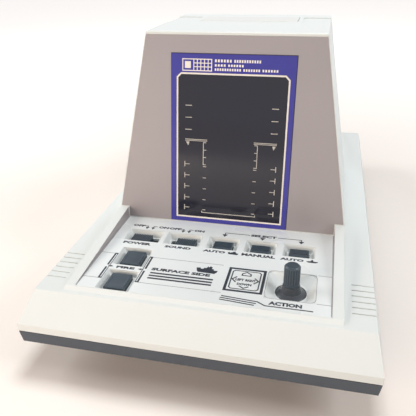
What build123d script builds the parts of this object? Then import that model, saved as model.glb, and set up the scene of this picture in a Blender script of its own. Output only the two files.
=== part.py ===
from build123d import *
import os
from math import hypot, sqrt

os.makedirs("parts", exist_ok=True)

# Two-player electronic table-top game. Millimetres, +Z up, origin on the table under its middle.
# The first player sits at -Y and the second at +Y. Their sides are alike, turned half round about
# Z, except that only the first player's deck has the switches and the select buttons.

# ---- overall shape ---------------------------------------------------------------------------
BASE_W = 180.0          # width of the base at its lip
BASE_D = 332.0          # depth of the base, lip to lip
WALL = 2.2              # wall of both housings
BAND_Z = 19.0           # table to the underside of the dark tray
BAND_H = 7.5            # height of the dark tray's edge
RIM_H = 4.0             # upright white rim above the dark edge
WING_RISE = 11.4        # rim to the flat top of the wings
WING_RUN = 16.0         # slope of the wing, front to back
WING_LEAN = 3.0         # how far the wing's side wall leans in
DECK_RISE = 12.9        # rim to the control deck
APRON_RUN = 21.0        # slope in front of the deck, front to back
DECK_LEN = 82.4         # deck, front edge to tower foot
TOWER_RISE = 115.2      # deck to the top of the tower
TOWER_W = 105.0         # width of the tower at its top
FACE_RUN = 16.43        # how far the tower's face leans back over its height
SIDE_SLOPE = 0.176      # lean of the tower's side walls, across per unit height, above the cheeks
CHEEK_IN = 66.2         # half the distance between the two cheeks beside the deck
CHEEK_RISE = 6.8        # height of a cheek where it meets the tower
CREASE_R = 0.3          # rounding of the creases between the flat faces of the base
EDGE_R = 1.0            # rounding of the tower's top edges

# ---- clearances -------------------------------------------------------------------------------
FIT = 0.1               # between pieces that are set into each other
MOVE_GAP = 0.3          # beside a piece that moves
PIN_GAP = 0.05          # around a pin in its bore
THREAD_GAP = 0.05       # around a screw in its pilot hole
CELL_SLACK = 0.2        # under the cells, over the door

# ---- deck plate, wells and controls, placed from the deck's front edge -----------------------
PLATE_T = 0.5
PLATE_INSET = 0.15      # bare edge of the moulding in front of the plate
WELL_WALL = 1.6
WELL_CORNER_R = 1.6
WELL_FLOOR_R = 1.0
CONTROL_ROW = 59.3
CONTROL_WELL_D = 13.8
CONTROL_FLOOR_D = 10.4
CONTROL_DEPTH = 4.2
SWITCH_XS = {"power": -47.5, "sound": -22.9}
SWITCH_WELL_W = 22.2
SWITCH_FLOOR_W = 18.4
SWITCH_SLOT_W = 15.5
SWITCH_SLOT_D = 7.9
SWITCH_TRAVEL = 3.7
SWITCH_KNOB_DROP = 1.5  # knob top below the deck
SWITCH_RIBS = 11
SELECT_X = 1.75
SELECT_PITCH = 22.5
SELECT_COUNT = 3
SELECT_WELL_W = 18.8
SELECT_FLOOR_W = 14.6
SELECT_CAP = (11.4, 7.6)
SELECT_DROP = 0.9
FIRE_X = -45.9
FIRE_ROWS = (10.0, 34.1)
FIRE_WELL = (18.6, 18.8)
FIRE_FLOOR = (14.4, 16.8)
FIRE_DEPTH = 3.4
FIRE_CAP = (11.4, 14.0)
FIRE_DROP = 0.4
BUTTON_SKIRT = 1.3      # flange of a button beyond its cap, under the well floor
BUTTON_SKIRT_T = 1.2
CAP_CHAMFER = 0.4
CAP_GROOVE_IN = 2.4     # middle of the groove behind a select cap's front edge
CAP_GROOVE_W = 0.7
CAP_GROOVE_DEEP = 0.5
SCOOP_R = 40.0          # hollow of a fire cap for the fingertip
SCOOP_DEEP = 0.35
SCOOP_EDGE = 1.2
PLUNGER_R = 2.6
PLUNGER_L = 1.0
DOME_FOOT_T = 0.8       # rubber domes under the buttons
DOME_WALL = 1.2
DOME_NECK_R = 2.2
FIRE_DOME_D = 11.0
SELECT_DOME_D = 9.0
STICK_X = 45.05
STICK_ROW = 22.9
STICK_WELL = 25.4
STICK_FLOOR = 17.0
STICK_DEPTH = 4.2
STICK_WELL_R = 3.0
STICK_FLOOR_R = 6.0

# ---- slide switches, switch boards and their bosses -------------------------------------------
KNOB_RIB_DEEP = 0.6
KNOB_PLATE_T = 1.0      # plate under the slot, which closes it at both ends of the travel
KNOB_PLATE_EDGE = 1.2
FORK_HALF = 1.6         # square peg that drives the switch
FORK_IN_CAN = 1.2
CAN_HALF = (10.5, 4.0)
CAN_H = 4.2
CAN_WALL = 1.8
SWITCH_ROOM = 6.4       # well floor to the switch board
BOARD_SIDE_GAP = 4.0    # switch board short of the cheeks' inner faces
BOARD_FRONT_GAP = 1.5
BOARD_BEHIND_ROW = 9.0  # full board beyond the control row
BOARD_SHORT = 52.0      # length of the board that has no control row
BOARD_BOSS_X = 58.5
BOARD_BOSS_ROWS = (6.0, 47.5)
PILOT_DEPTH = 6.0
SCREW_TIP_GAP = 1.5     # end of a board screw short of its pilot's end

# ---- joystick ---------------------------------------------------------------------------------
DOME_R = 12.6
DOME_T = 1.2
DOME_SKIRT = 7.0        # dome's edge above the pivot
DOME_TOP_DROP = 1.5     # dome top below the deck
SPINDLE_R = 2.2
SPINDLE_UP = 5.4        # spindle beyond the dome, inside the knob
NECK_DROP = 1.3         # foot of the dome's neck below its top
NECK_UP = 2.4           # neck's end above the dome
NECK_LEDGE = 0.3        # neck's end wider than the knob, all round
HUB_R = 3.0
HUB_HALF = 3.6
TAIL_R = 1.6
TAIL_GAP = 1.6          # tail's end above the socket floor
KNOB_D = 8.4
KNOB_RISE = 12.9        # knob top above the deck
KNOB_CHAMFER = 0.9
KNOB_FLUTES = 20
FLUTE_R = 0.5
FLUTE_OUT = 0.15        # middle of a flute beyond the knob's surface
FLUTE_LOW = 1.5         # plain collar under the flutes
PIN_R = 1.1
PIN_SHORT = 0.2
GIMBAL_OUT = 6.6
GIMBAL_IN = 4.4
GIMBAL_H = 4.0
SOCKET_IN = 8.5
SOCKET_WALL = 2.0
SOCKET_DEEP = 8.5       # socket floor below the pivot
SOCKET_PIN_SHORT = 0.4
EAR_REACH = 17.9
EAR_W = 8.0
EAR_T = 1.4
EAR_BOSS_R = 2.8

# ---- tower face: mask, bezel, window, display -------------------------------------------------
MASK_T = 2.0
MASK_EDGE = 0.45        # white edge left around the mask
MASK_TOP_GAP = 1.3      # white band above the mask
BEZEL_W = 74.0
BEZEL_H = 104.0
BEZEL_FOOT = 0.6
WINDOW_W = 67.2
WINDOW_H = 90.2
WINDOW_FOOT = 2.7       # from the bezel's lower edge
WINDOW_CHAMFER = 2.5
GLAZING_SINK = 0.2      # bezel and window below the mask's face
LEDGE = 2.2             # shell left behind the window's edge
TUBE_W = 61.0
TUBE_H = 88.0
TUBE_T = 6.5
TUBE_GLASS = 1.3
HOLDER_EDGE = 7.0       # holder beyond the tube, left and right
HOLDER_END = 5.0        # holder beyond the tube, top and bottom
HOLDER_LIP = 2.0
HOLDER_REST = 2.0       # holder's lip over the tube's edge
GRID_T = 0.8
GRID_GAP = 1.0          # anode plate to the side of the glass box
RIBBON_HALF_W = 20.0
RIBBON_T = 0.5
RIBBON_UP = 12.0        # ribbon's end above the display board's lower edge
RIBBON_BEND = 4.0       # where it leaves the display board
RIBBON_ON_BOARD = (3.0, 6.0, 9.0)
BOARD_T = 1.6

# ---- top recesses and plate -------------------------------------------------------------------
RECESS_DEEP = 0.5
RECESS_FRONT = 0.0
RECESS_D = 28.0
RECESS_IN = 35.0
TOP_PLATE_W = 64.0
TOP_PLATE_FRONT = 4.0
TOP_PLATE_D = 24.0
TOP_PLATE_T = 1.5
TOP_PLATE_PROUD = 0.3
TOP_PLATE_CHAMFER = 0.25

# ---- wing grooves -----------------------------------------------------------------------------
GROOVES = 6
GROOVE_PITCH = 4.95
GROOVE_W = 1.2
GROOVE_DEEP = 0.5
GROOVE_FRONT = 13.0     # first groove behind the wing's crease
GROOVE_IN = 75.5

# ---- lower housing ----------------------------------------------------------------------------
SEAM_INSET = 0.9        # shadow gap under the white rim
SEAM_H = 0.6
BAND_TAPER = 0.9
TONGUE_H = 1.8
TUB_SIDE_SETBACK = 24.0 # lip to the tub's side wall
TUB_END_SETBACK = 21.0  # lip to the tub's end wall, where it meets the tray
TUB_DRAFT = 7.0         # tub's ends lean in by this much, top to bottom
FOOT_H = 3.0
FOOT_R = 6.0
FOOT_SIDE_INSET = 12.0  # middle of a foot inside the tub's side and end
FOOT_END_INSET = 21.0
SCREW_R = 1.4
SCREW_HEAD_R = 2.8
SCREW_HEAD_H = 1.8
SCREW_SLOT_W = 0.7
SCREW_SLOT_DEEP = 0.7
SCREW_SINK = 0.2        # head above the tray's underside
BOSS_R = 3.2
BOSS_SIDE_INSET = 10.6  # housing screws inside the lip, at the sides and the ends
BOSS_END_INSET = 38.0
BOARD_SCREW_R = 1.1
BOARD_SCREW_HEAD_R = 2.2
BOARD_SCREW_HEAD_H = 1.3
CELL_R = 13.1
CELL_L = 50.0
CELL_GAP = 0.5
CELL_NUB = 1.5
CONTACT_ROOM = 2.6      # at each end of a row of cells
CONTACT_T = 0.5
CONTACT_HALF = (8.0, 9.0)
CONTACT_SPRING = (7.0, 3.5, 1.8)
CONTACT_BUTTON_R = 4.0
BOX_WALL = 1.8
BOX_RAIL_W = 4.2        # solid beside the cells, for the door's rails
DOOR_T = 1.8
DOOR_SIDE = 2.4         # door beyond the room for the cells
DOOR_END = 1.5
DOOR_FLANGE = 1.2       # door's tongue in the rail, each side
RAIL_UP = 0.9           # rail above the tub's underside
DOOR_GRIPS = 6
DOOR_GRIP_PITCH = 2.4
DOOR_GRIP_W = 1.0
DOOR_GRIP_HALF_L = 12.0
DOOR_GRIP_DEEP = 0.5
DOOR_GRIP_IN = 5.0
SPEAKER_R = 25.0
SPEAKER_H = 6.0
SPEAKER_Y = -84.0
SPEAKER_RING = 2.0
SPEAKER_RIM = 2.5
CONE_R = (21.5, 8.0)
CONE_H = 4.0
MAGNET_R = 14.0
MAGNET_H = 8.0
POLE_R = 10.0
POLE_H = 1.5
GRILLE_SLOTS = 9
GRILLE_PITCH = 4.0
GRILLE_SLOT_W = 1.6
GRILLE_EDGE = 4.0
JACK_Y = 62.0
JACK_Z = 12.5
JACK_COLLAR_R = 3.9
JACK_COLLAR_L = 6.4
JACK_BODY_HALF = 5.5
JACK_BODY_L = 14.5
JACK_BORE_R = 1.8
JACK_BORE_L = 14.0

# ---- main board ------------------------------------------------------------------------------
MAIN_BOARD = (100.0, 88.0)
MAIN_BOARD_POST_H = 3.5
MAIN_BOARD_POST_R = 3.0
MAIN_BOARD_POST_IN = (6.0, 4.0)
MAIN_PILOT = 4.4
MAIN_SCREW_L = 3.6
CHIPS = ((-14, 0, 52, 14, 4.4), (-20, 28, 20, 6.5, 3.6), (8, 28, 20, 6.5, 3.6), (-14, -28, 26, 6.5, 3.6))
CHIP_PITCH = 2.54
CHIP_STAND = 0.8        # chip's body above the board
LEG_HALF = (0.35, 0.3)
CANS = ((38, 30, 5.0, 13.0), (26, 32, 4.0, 11.0), (38, -32, 4.0, 11.0), (28, -34, 3.2, 8.0))
COIL_X = 38.0
COIL_CORE_HALF = (8.0, 9.0)
COIL_CORE_T = 3.0
COIL_R = 6.5
COIL_H = 8.0

# ---- worked out from the above ----------------------------------------------------------------
SEAM_Z = BAND_Z + BAND_H
RIM_Z = SEAM_Z + RIM_H
WING_Z = RIM_Z + WING_RISE
DECK_Z = RIM_Z + DECK_RISE
TOP_Z = DECK_Z + TOWER_RISE
WING_TOP_HALF = BASE_W / 2 - WING_LEAN
DECK_Y = -BASE_D / 2 + APRON_RUN
FOOT_Y = DECK_Y + DECK_LEN
TOP_Y = FOOT_Y + FACE_RUN
FACE_LEN = hypot(FACE_RUN, TOWER_RISE)
CHEEK_TOP_Z = DECK_Z + CHEEK_RISE
TUB_W = BASE_W - 2 * TUB_SIDE_SETBACK
TUB_D = BASE_D - 2 * TUB_END_SETBACK
FOOT_XY = (TUB_W / 2 - FOOT_SIDE_INSET, TUB_D / 2 - FOOT_END_INSET)
BOSS_X = BASE_W / 2 - BOSS_SIDE_INSET
BOSS_YS = (BOSS_END_INSET - BASE_D / 2, 0.0, BASE_D / 2 - BOSS_END_INSET)
TUB_Z = FOOT_H
TRAY_FLOOR = BAND_Z + WALL
TUB_FLOOR = TUB_Z + WALL
CONTROL_FLOOR_Z = DECK_Z - CONTROL_DEPTH
FIRE_FLOOR_Z = DECK_Z - FIRE_DEPTH
FLOOR_UNDER = CONTROL_FLOOR_Z - WELL_WALL
SWITCH_BOARD_TOP = FLOOR_UNDER - SWITCH_ROOM
CAN_TOP = SWITCH_BOARD_TOP + CAN_H
EAR_TOP = SWITCH_BOARD_TOP + EAR_T
PIVOT_Z = DECK_Z - DOME_TOP_DROP - DOME_R
STICK_Y = DECK_Y + STICK_ROW
CONTROL_Y = DECK_Y + CONTROL_ROW
BOARD_BOSSES = [(s * BOARD_BOSS_X, DECK_Y + row) for s in (-1, 1) for row in BOARD_BOSS_ROWS]
EAR_BOSSES = [(STICK_X + s * (EAR_REACH - EAR_W / 2), STICK_Y) for s in (-1, 1)]
TUBE_MID = BEZEL_FOOT + WINDOW_FOOT + WINDOW_H / 2
WALL_BACK = MASK_T + WALL
TUBE_BACK = WALL_BACK + HOLDER_LIP + TUBE_T
HOLDER_HALF = (TUBE_W / 2 + HOLDER_EDGE, TUBE_H / 2 + HOLDER_END)
CELL_ROOM = (2 * CELL_L + 2 * CONTACT_ROOM, 4 * CELL_R + 3 * CELL_GAP)
CELL_ROWS = (-CELL_R - CELL_GAP / 2, CELL_R + CELL_GAP / 2)
DOOR_TOP = TUB_Z + DOOR_T
RAIL_LOW = TUB_Z + RAIL_UP
CELL_Z = DOOR_TOP + CELL_SLACK + CELL_R
CELL_ROOF = CELL_Z + CELL_R + CELL_GAP
MAIN_BOARD_Z = CELL_ROOF + BOX_WALL + MAIN_BOARD_POST_H
BOARD_TOP = MAIN_BOARD_Z + BOARD_T

FACE = Plane(origin=(0, FOOT_Y, DECK_Z), x_dir=(1, 0, 0), z_dir=(0, -TOWER_RISE, FACE_RUN))
PIVOT = Location((STICK_X, STICK_Y, PIVOT_Z))


def side_half(z):
    """Half the width of the tower and deck body at height z: its walls are upright below the cheeks."""
    return TOWER_W / 2 + (TOP_Z - max(z, CHEEK_TOP_Z)) * SIDE_SLOPE


def turned(part):
    """The same piece on the second player's side."""
    return Rot(0, 0, 180) * part


def both_sides(parts):
    """The pieces of the first player's side, and the same pieces on the second's."""
    return parts + [turned(part) for part in parts]


def outline(points, inset=0.0):
    """A flat face with corners at points, taken in by inset on every side."""
    face = make_face(Polyline(*points, close=True))
    return offset(face, -inset, kind=Kind.INTERSECTION) if inset else face


def prism_x(points, half, inset=0.0):
    """Extrude (y, z) points along X to both sides."""
    return extrude(Plane.YZ * outline(points, inset), half, both=True)


def prism_y(points, half, inset=0.0):
    """Extrude (x, z) points along Y to both sides."""
    return extrude(Plane.XZ * outline(points, inset), half, both=True)


def box(x0, x1, y0, y1, z0, z1):
    """A box between its two corners."""
    return Pos((x0 + x1) / 2, (y0 + y1) / 2, (z0 + z1) / 2) * Box(x1 - x0, y1 - y0, z1 - z0)


def rod(x, y, z0, z1, r):
    """An upright cylinder between two heights."""
    return Pos(x, y, (z0 + z1) / 2) * Cylinder(r, z1 - z0)


def save(part, name):
    """Write one node's solids, as a plain group if there are several."""
    solids = part.solids()
    export_step(Compound(children=solids) if len(solids) > 1 else solids[0], f"parts/{name}.step")


# ---- upper shell ------------------------------------------------------------------------------
def wing_block(inset=0.0):
    """The wide low block whose flat top makes both wings."""
    half_d = BASE_D / 2
    low = SEAM_Z - 2 * inset
    top = WING_Z
    profile = [(-half_d, low), (-half_d, RIM_Z), (WING_RUN - half_d, top), (half_d - WING_RUN, top),
               (half_d, RIM_Z), (half_d, low)]
    section = [(-BASE_W / 2, low), (-BASE_W / 2, RIM_Z), (-WING_TOP_HALF, top), (WING_TOP_HALF, top),
               (BASE_W / 2, RIM_Z), (BASE_W / 2, low)]
    return prism_x(profile, BASE_W, inset) & prism_y(section, BASE_D, inset)


def body_section(low, high, inset=0.0):
    """Slab between the side walls of the deck and tower, endless along Y."""
    right = [(side_half(z), z) for z in (low, CHEEK_TOP_Z, high)]
    return prism_y(right + [(-x, z) for x, z in reversed(right)], BASE_D, inset)


def tower_block(inset=0.0):
    """Apron, deck level and tower as one block, without the cheeks."""
    half_d = BASE_D / 2
    low = SEAM_Z - 2 * inset
    profile = [(-half_d, low), (-half_d, RIM_Z), (DECK_Y, DECK_Z), (FOOT_Y, DECK_Z), (TOP_Y, TOP_Z),
               (-TOP_Y, TOP_Z), (-FOOT_Y, DECK_Z), (-DECK_Y, DECK_Z), (half_d, RIM_Z), (half_d, low)]
    return prism_x(profile, BASE_W, inset) & body_section(low, TOP_Z + 2 * inset, inset)


def cheeks():
    """The two wedges that rise beside the front deck and run into the tower."""
    back = FOOT_Y + CHEEK_RISE * FACE_RUN / TOWER_RISE + 2 * WALL
    low = DECK_Z - WALL
    points = [(DECK_Y, low), (DECK_Y, DECK_Z), (FOOT_Y, CHEEK_TOP_Z), (back, CHEEK_TOP_Z), (back, low)]
    wedge = extrude(Plane.YZ * outline(points), BASE_W / 2)
    right = Pos(CHEEK_IN, 0, 0) * wedge & body_section(DECK_Z - 2 * WALL, TOP_Z)
    return right + mirror(right, Plane.YZ)


def well(x, y, opening, floor, depth, corner_r=WELL_CORNER_R, floor_r=WELL_FLOOR_R):
    """The solid cup and the hollow of one sunk well with sloping walls."""
    cup_z = DECK_Z - depth - WELL_WALL
    cup = box(x - opening[0] / 2, x + opening[0] / 2, y - opening[1] / 2, y + opening[1] / 2, cup_z, DECK_Z)
    mouth = Pos(x, y, DECK_Z) * RectangleRounded(*opening, corner_r)
    bottom = Pos(x, y, DECK_Z - depth) * RectangleRounded(*floor, floor_r)
    above = extrude(mouth, BAND_H)
    return cup, loft([bottom, mouth]) + above


def front_wells(full):
    """Wells of one deck: fire buttons and joystick, and on the full deck the control row."""
    wells = [well(FIRE_X, DECK_Y + row, FIRE_WELL, FIRE_FLOOR, FIRE_DEPTH) for row in FIRE_ROWS]
    wells.append(well(STICK_X, STICK_Y, (STICK_WELL,) * 2, (STICK_FLOOR,) * 2, STICK_DEPTH, STICK_WELL_R,
                      STICK_FLOOR_R))
    if full:
        switch = (SWITCH_WELL_W, CONTROL_WELL_D), (SWITCH_FLOOR_W, CONTROL_FLOOR_D)
        select = (SELECT_WELL_W, CONTROL_WELL_D), (SELECT_FLOOR_W, CONTROL_FLOOR_D)
        wells += [well(x, CONTROL_Y, *switch, CONTROL_DEPTH) for x in SWITCH_XS.values()]
        wells += [well(x, CONTROL_Y, *select, CONTROL_DEPTH) for x in select_xs()]
    return wells


def select_xs():
    return [SELECT_X + i * SELECT_PITCH for i in range(SELECT_COUNT)]


def hole(x, y, size):
    """A square hole through a well floor, clear of a moving cap all round."""
    return box(x - size[0] / 2 - MOVE_GAP, x + size[0] / 2 + MOVE_GAP, y - size[1] / 2 - MOVE_GAP,
               y + size[1] / 2 + MOVE_GAP, FLOOR_UNDER - WELL_WALL, DECK_Z)


def floor_holes(full):
    """Everything that is cut through the well floors of one deck."""
    holes = [hole(FIRE_X, DECK_Y + row, FIRE_CAP) for row in FIRE_ROWS]
    holes.append(PIVOT * Sphere(DOME_R + MOVE_GAP))
    if full:
        slot = (SWITCH_SLOT_W, SWITCH_SLOT_D)
        holes += [hole(x, CONTROL_Y, slot) for x in SWITCH_XS.values()]
        holes += [hole(x, CONTROL_Y, SELECT_CAP) for x in select_xs()]
    return holes


def deck_bosses():
    """Bosses that hang from the deck and carry the switch board and the joystick socket."""
    ceiling = DECK_Z - WALL / 2
    posts = [rod(x, y, SWITCH_BOARD_TOP, ceiling, BOSS_R) for x, y in BOARD_BOSSES]
    posts += [rod(x, y, EAR_TOP, ceiling, EAR_BOSS_R) for x, y in EAR_BOSSES]
    return posts


def pilot(x, y, z, depth, r):
    """Blind pilot hole for a screw, up from z."""
    return rod(x, y, z - WALL, z + depth, r + THREAD_GAP)


def mask_points(edge):
    """Outline of the mask in the tower face's plane, from the deck up, taken in by edge."""
    def half(v):
        return side_half(DECK_Z + v * TOWER_RISE / FACE_LEN) - edge
    step = CHEEK_RISE * FACE_LEN / TOWER_RISE + edge
    top = FACE_LEN - MASK_TOP_GAP - edge
    foot = CHEEK_IN - edge
    right = [(foot, edge), (foot, step), (half(step), step), (half(top), top)]
    return right + [(-x, v) for x, v in reversed(right)]


def on_face(sketch, front, thick):
    """Extrude a sketch drawn on the tower face, front mm below the face, into the tower."""
    return FACE * Pos(0, 0, -front) * extrude(sketch, -thick)


def window_sketch(grow=0.0):
    """The window: a rectangle with its two upper corners cut off."""
    half, low = WINDOW_W / 2 + grow, BEZEL_FOOT + WINDOW_FOOT - grow
    high = BEZEL_FOOT + WINDOW_FOOT + WINDOW_H + grow
    cut = WINDOW_CHAMFER
    return outline([(-half, low), (half, low), (half, high - cut), (half - cut, high), (cut - half, high),
                    (-half, high - cut)])


def bezel_sketch(grow=0.0):
    return Pos(0, BEZEL_FOOT + BEZEL_H / 2) * Rectangle(BEZEL_W + 2 * grow, BEZEL_H + 2 * grow)


def ledge_sketch():
    low = BEZEL_FOOT + WINDOW_FOOT
    return Pos(0, low + WINDOW_H / 2) * Rectangle(WINDOW_W - 2 * LEDGE, WINDOW_H - 2 * LEDGE)


def grooves():
    """Grooves across the first player's end of both wings, out over their edges."""
    first = -BASE_D / 2 + WING_RUN + GROOVE_FRONT
    cuts = []
    for i in range(GROOVES):
        y = first + i * GROOVE_PITCH
        cut = box(GROOVE_IN, BASE_W / 2, y - GROOVE_W / 2, y + GROOVE_W / 2, WING_Z - GROOVE_DEEP, DECK_Z)
        cuts += [cut, mirror(cut, Plane.YZ)]
    return cuts


def near(a, b):
    return abs(a - b) < PIN_GAP


def edges_across(block, wanted):
    """The block's edges along X whose middle is wanted."""
    return block.edges().filter_by(Axis.X).filter_by(lambda edge: wanted(edge.center()))


def upper_shell():
    """White housing: wings, aprons, cheeks and tower in one moulding, open below."""
    block = wing_block() + tower_block()
    block = fillet(edges_across(block, lambda middle: near(middle.Z, TOP_Z)), EDGE_R)
    block = fillet(edges_across(block, lambda middle: near(middle.Z, WING_Z) or near(middle.Z, RIM_Z)
                                or near(abs(middle.Y), abs(DECK_Y))), CREASE_R)
    shell = block - wing_block(WALL) - tower_block(WALL)
    both = [cheeks(), turned(cheeks())]
    backing = on_face(outline(mask_points(MASK_EDGE)), MASK_T - FIT, WALL + FIT) & tower_block()
    both += [backing, turned(backing)]
    full, half = front_wells(True), front_wells(False)
    both += [cup for cup, hollow in full] + [turned(cup) for cup, hollow in half]
    both += both_sides(deck_bosses())
    ceiling = WING_Z - WALL / 2
    both += [rod(s * BOSS_X, y, SEAM_Z, ceiling, BOSS_R) for s in (-1, 1) for y in BOSS_YS]
    low = TOP_Z - WALL - TOP_PLATE_T
    half_top = side_half(low) - WALL / 2
    both.append(box(-half_top, half_top, RECESS_FRONT - WALL, RECESS_FRONT + RECESS_D + WALL, low,
                    TOP_Z - WALL / 2))
    for piece in both:
        shell += piece
    cuts = [hollow for cup, hollow in full] + [turned(hollow) for cup, hollow in half]
    cuts += floor_holes(True) + [turned(h) for h in floor_holes(False)]
    cuts += [plate_room(), turned(plate_room())]
    cuts += both_sides([on_face(outline(mask_points(MASK_EDGE)), -WALL, WALL + MASK_T),
                        on_face(ledge_sketch(), 0, 4 * WALL)])
    cuts += grooves()
    pilots = [pilot(x, y, SWITCH_BOARD_TOP, PILOT_DEPTH, BOARD_SCREW_R) for x, y in BOARD_BOSSES]
    pilots += [pilot(x, y, EAR_TOP, PILOT_DEPTH - EAR_T, BOARD_SCREW_R) for x, y in EAR_BOSSES]
    cuts += both_sides(pilots)
    cuts += [pilot(s * BOSS_X, y, SEAM_Z, PILOT_DEPTH + RIM_H, SCREW_R) for s in (-1, 1) for y in BOSS_YS]
    above = TOP_Z + WALL
    recess = box(RECESS_IN, BASE_W / 2, RECESS_FRONT, RECESS_FRONT + RECESS_D, TOP_Z - RECESS_DEEP, above)
    cuts += [recess, mirror(recess, Plane.YZ), top_plate_room(MOVE_GAP, above)]
    for cut in cuts:
        shell -= cut
    return shell


def top_plate_room(gap, high):
    """The top plate's place in the tower's top, grown by gap at its sides."""
    half = TOP_PLATE_W / 2 + gap
    low = TOP_Z + TOP_PLATE_PROUD - TOP_PLATE_T
    return box(-half, half, TOP_PLATE_FRONT - gap, TOP_PLATE_FRONT + TOP_PLATE_D + gap, low, high)


def plate_room(clear=0.0):
    """The shallow bed of the deck plate, from the front edge to the tower foot."""
    half = CHEEK_IN - clear
    return box(-half, half, DECK_Y + PLATE_INSET + clear, FOOT_Y - clear, DECK_Z - PLATE_T, DECK_Z + WALL)


def deck_plate(full):
    """Printed metal plate on the deck, with an opening for each well."""
    plate = plate_room(FIT) & box(-BASE_W, BASE_W, -BASE_D, BASE_D, DECK_Z - PLATE_T, DECK_Z)
    for cup, hollow in front_wells(full):
        size = hollow.bounding_box()
        plate -= box(size.min.X, size.max.X, size.min.Y, size.max.Y, DECK_Z - 2 * PLATE_T, DECK_Z + PLATE_T)
    return plate


# ---- tower face -------------------------------------------------------------------------------
def mask():
    sketch = outline(mask_points(MASK_EDGE + FIT)) - bezel_sketch(FIT)
    return on_face(sketch, 0, MASK_T)


def bezel():
    return on_face(bezel_sketch() - window_sketch(FIT), GLAZING_SINK, MASK_T - GLAZING_SINK)


def window():
    return on_face(window_sketch(), GLAZING_SINK, MASK_T - GLAZING_SINK)


def centred(w, h):
    return Pos(0, TUBE_MID) * Rectangle(w, h)


def display_tube():
    """Flat vacuum display: a sealed glass box with its anode plate and grid inside."""
    front = WALL_BACK + HOLDER_LIP
    outer = on_face(centred(TUBE_W, TUBE_H), front, TUBE_T)
    inner = on_face(centred(TUBE_W - 2 * TUBE_GLASS, TUBE_H - 2 * TUBE_GLASS), front + TUBE_GLASS,
                    TUBE_T - 2 * TUBE_GLASS)
    return outer - inner


def display_grid():
    """Anode plate of the display, resting on the rear glass inside the tube."""
    margin = 2 * (TUBE_GLASS + GRID_GAP)
    return on_face(centred(TUBE_W - margin, TUBE_H - margin), TUBE_BACK - TUBE_GLASS - GRID_T, GRID_T)


def display_holder():
    """Frame that holds a tube against the back of the tower's front wall."""
    half_w, half_h = HOLDER_HALF
    body = on_face(centred(2 * half_w, 2 * half_h), WALL_BACK, HOLDER_LIP + TUBE_T)
    body -= on_face(centred(TUBE_W - 2 * HOLDER_REST, TUBE_H - 2 * HOLDER_REST), 0, 2 * TUBE_BACK)
    body -= on_face(centred(TUBE_W + 2 * FIT, TUBE_H + 2 * FIT), WALL_BACK + HOLDER_LIP, TUBE_T + 1)
    bore = Circle(BOARD_SCREW_R + THREAD_GAP)
    for x, v in display_screw_spots():
        body -= on_face(Pos(x, v) * bore, TUBE_BACK - PILOT_DEPTH, PILOT_DEPTH + 1)
    return body


def display_screw_spots():
    reach = (HOLDER_HALF[0] - HOLDER_EDGE / 2, HOLDER_HALF[1] - HOLDER_END / 2)
    return [(s * reach[0], TUBE_MID + t * reach[1]) for s in (-1, 1) for t in (-1, 1)]


def display_board():
    """Board that closes the holder behind the tube and carries its connector."""
    board = on_face(centred(2 * HOLDER_HALF[0], 2 * HOLDER_HALF[1]), TUBE_BACK, BOARD_T)
    for x, v in display_screw_spots():
        board -= on_face(Pos(x, v) * Circle(BOARD_SCREW_R + MOVE_GAP), TUBE_BACK - 1, BOARD_T + 2)
    return board


def display_screws():
    screws = []
    for x, v in display_screw_spots():
        head = on_face(Pos(x, v) * Circle(BOARD_SCREW_HEAD_R), TUBE_BACK + BOARD_T, BOARD_SCREW_HEAD_H)
        reach = PILOT_DEPTH - SCREW_TIP_GAP
        shank = on_face(Pos(x, v) * Circle(BOARD_SCREW_R), TUBE_BACK - reach, reach + BOARD_T)
        screws.append(head + shank)
    return screws


# ---- controls ---------------------------------------------------------------------------------
def push_button(x, y, cap, drop, floor_under, grooved):
    """Push button: cap, skirt under the well floor and plunger down to its rubber dome."""
    top = DECK_Z - drop
    skirt_top = floor_under - FIT
    low = skirt_top - BUTTON_SKIRT_T
    body = box(x - cap[0] / 2, x + cap[0] / 2, y - cap[1] / 2, y + cap[1] / 2, low, top)
    body = chamfer(body.edges().group_by(Axis.Z)[-1], CAP_CHAMFER)
    if grooved:
        line = y - cap[1] / 2 + CAP_GROOVE_IN
        half = CAP_GROOVE_W / 2
        body -= box(x - cap[0], x + cap[0], line - half, line + half, top - CAP_GROOVE_DEEP, top + 1)
    else:
        half = (cap[0] / 2 - SCOOP_EDGE, cap[1] / 2 - SCOOP_EDGE)
        bowl = Pos(x, y, top + SCOOP_R - SCOOP_DEEP) * Rot(0, 90, 0) * Cylinder(SCOOP_R, 2 * cap[0])
        body -= bowl & box(x - half[0], x + half[0], y - half[1], y + half[1], top - 2, top + 1)
    body += box(x - cap[0] / 2 - BUTTON_SKIRT, x + cap[0] / 2 + BUTTON_SKIRT, y - cap[1] / 2 - BUTTON_SKIRT,
                y + cap[1] / 2 + BUTTON_SKIRT, low, skirt_top)
    return body + rod(x, y, dome_top(floor_under) + FIT, skirt_top, PLUNGER_R)


def dome_top(floor_under):
    return floor_under - FIT - BUTTON_SKIRT_T - PLUNGER_L


def rubber_dome(x, y, floor_under, across):
    """Hollow rubber dome that pushes one button up, standing on the switch board."""
    low, high = SWITCH_BOARD_TOP, dome_top(floor_under)
    wide = across / 2 - DOME_WALL
    foot = rod(x, y, low, low + DOME_FOOT_T, across / 2)
    cone = Pos(x, y, (low + DOME_FOOT_T + high) / 2) * Cone(wide, DOME_NECK_R, high - low - DOME_FOOT_T)
    inside = Cone(wide - DOME_WALL, DOME_NECK_R - DOME_WALL, high - low - DOME_WALL)
    return foot + cone - Pos(x, y, (low + high - DOME_WALL) / 2) * inside


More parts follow.
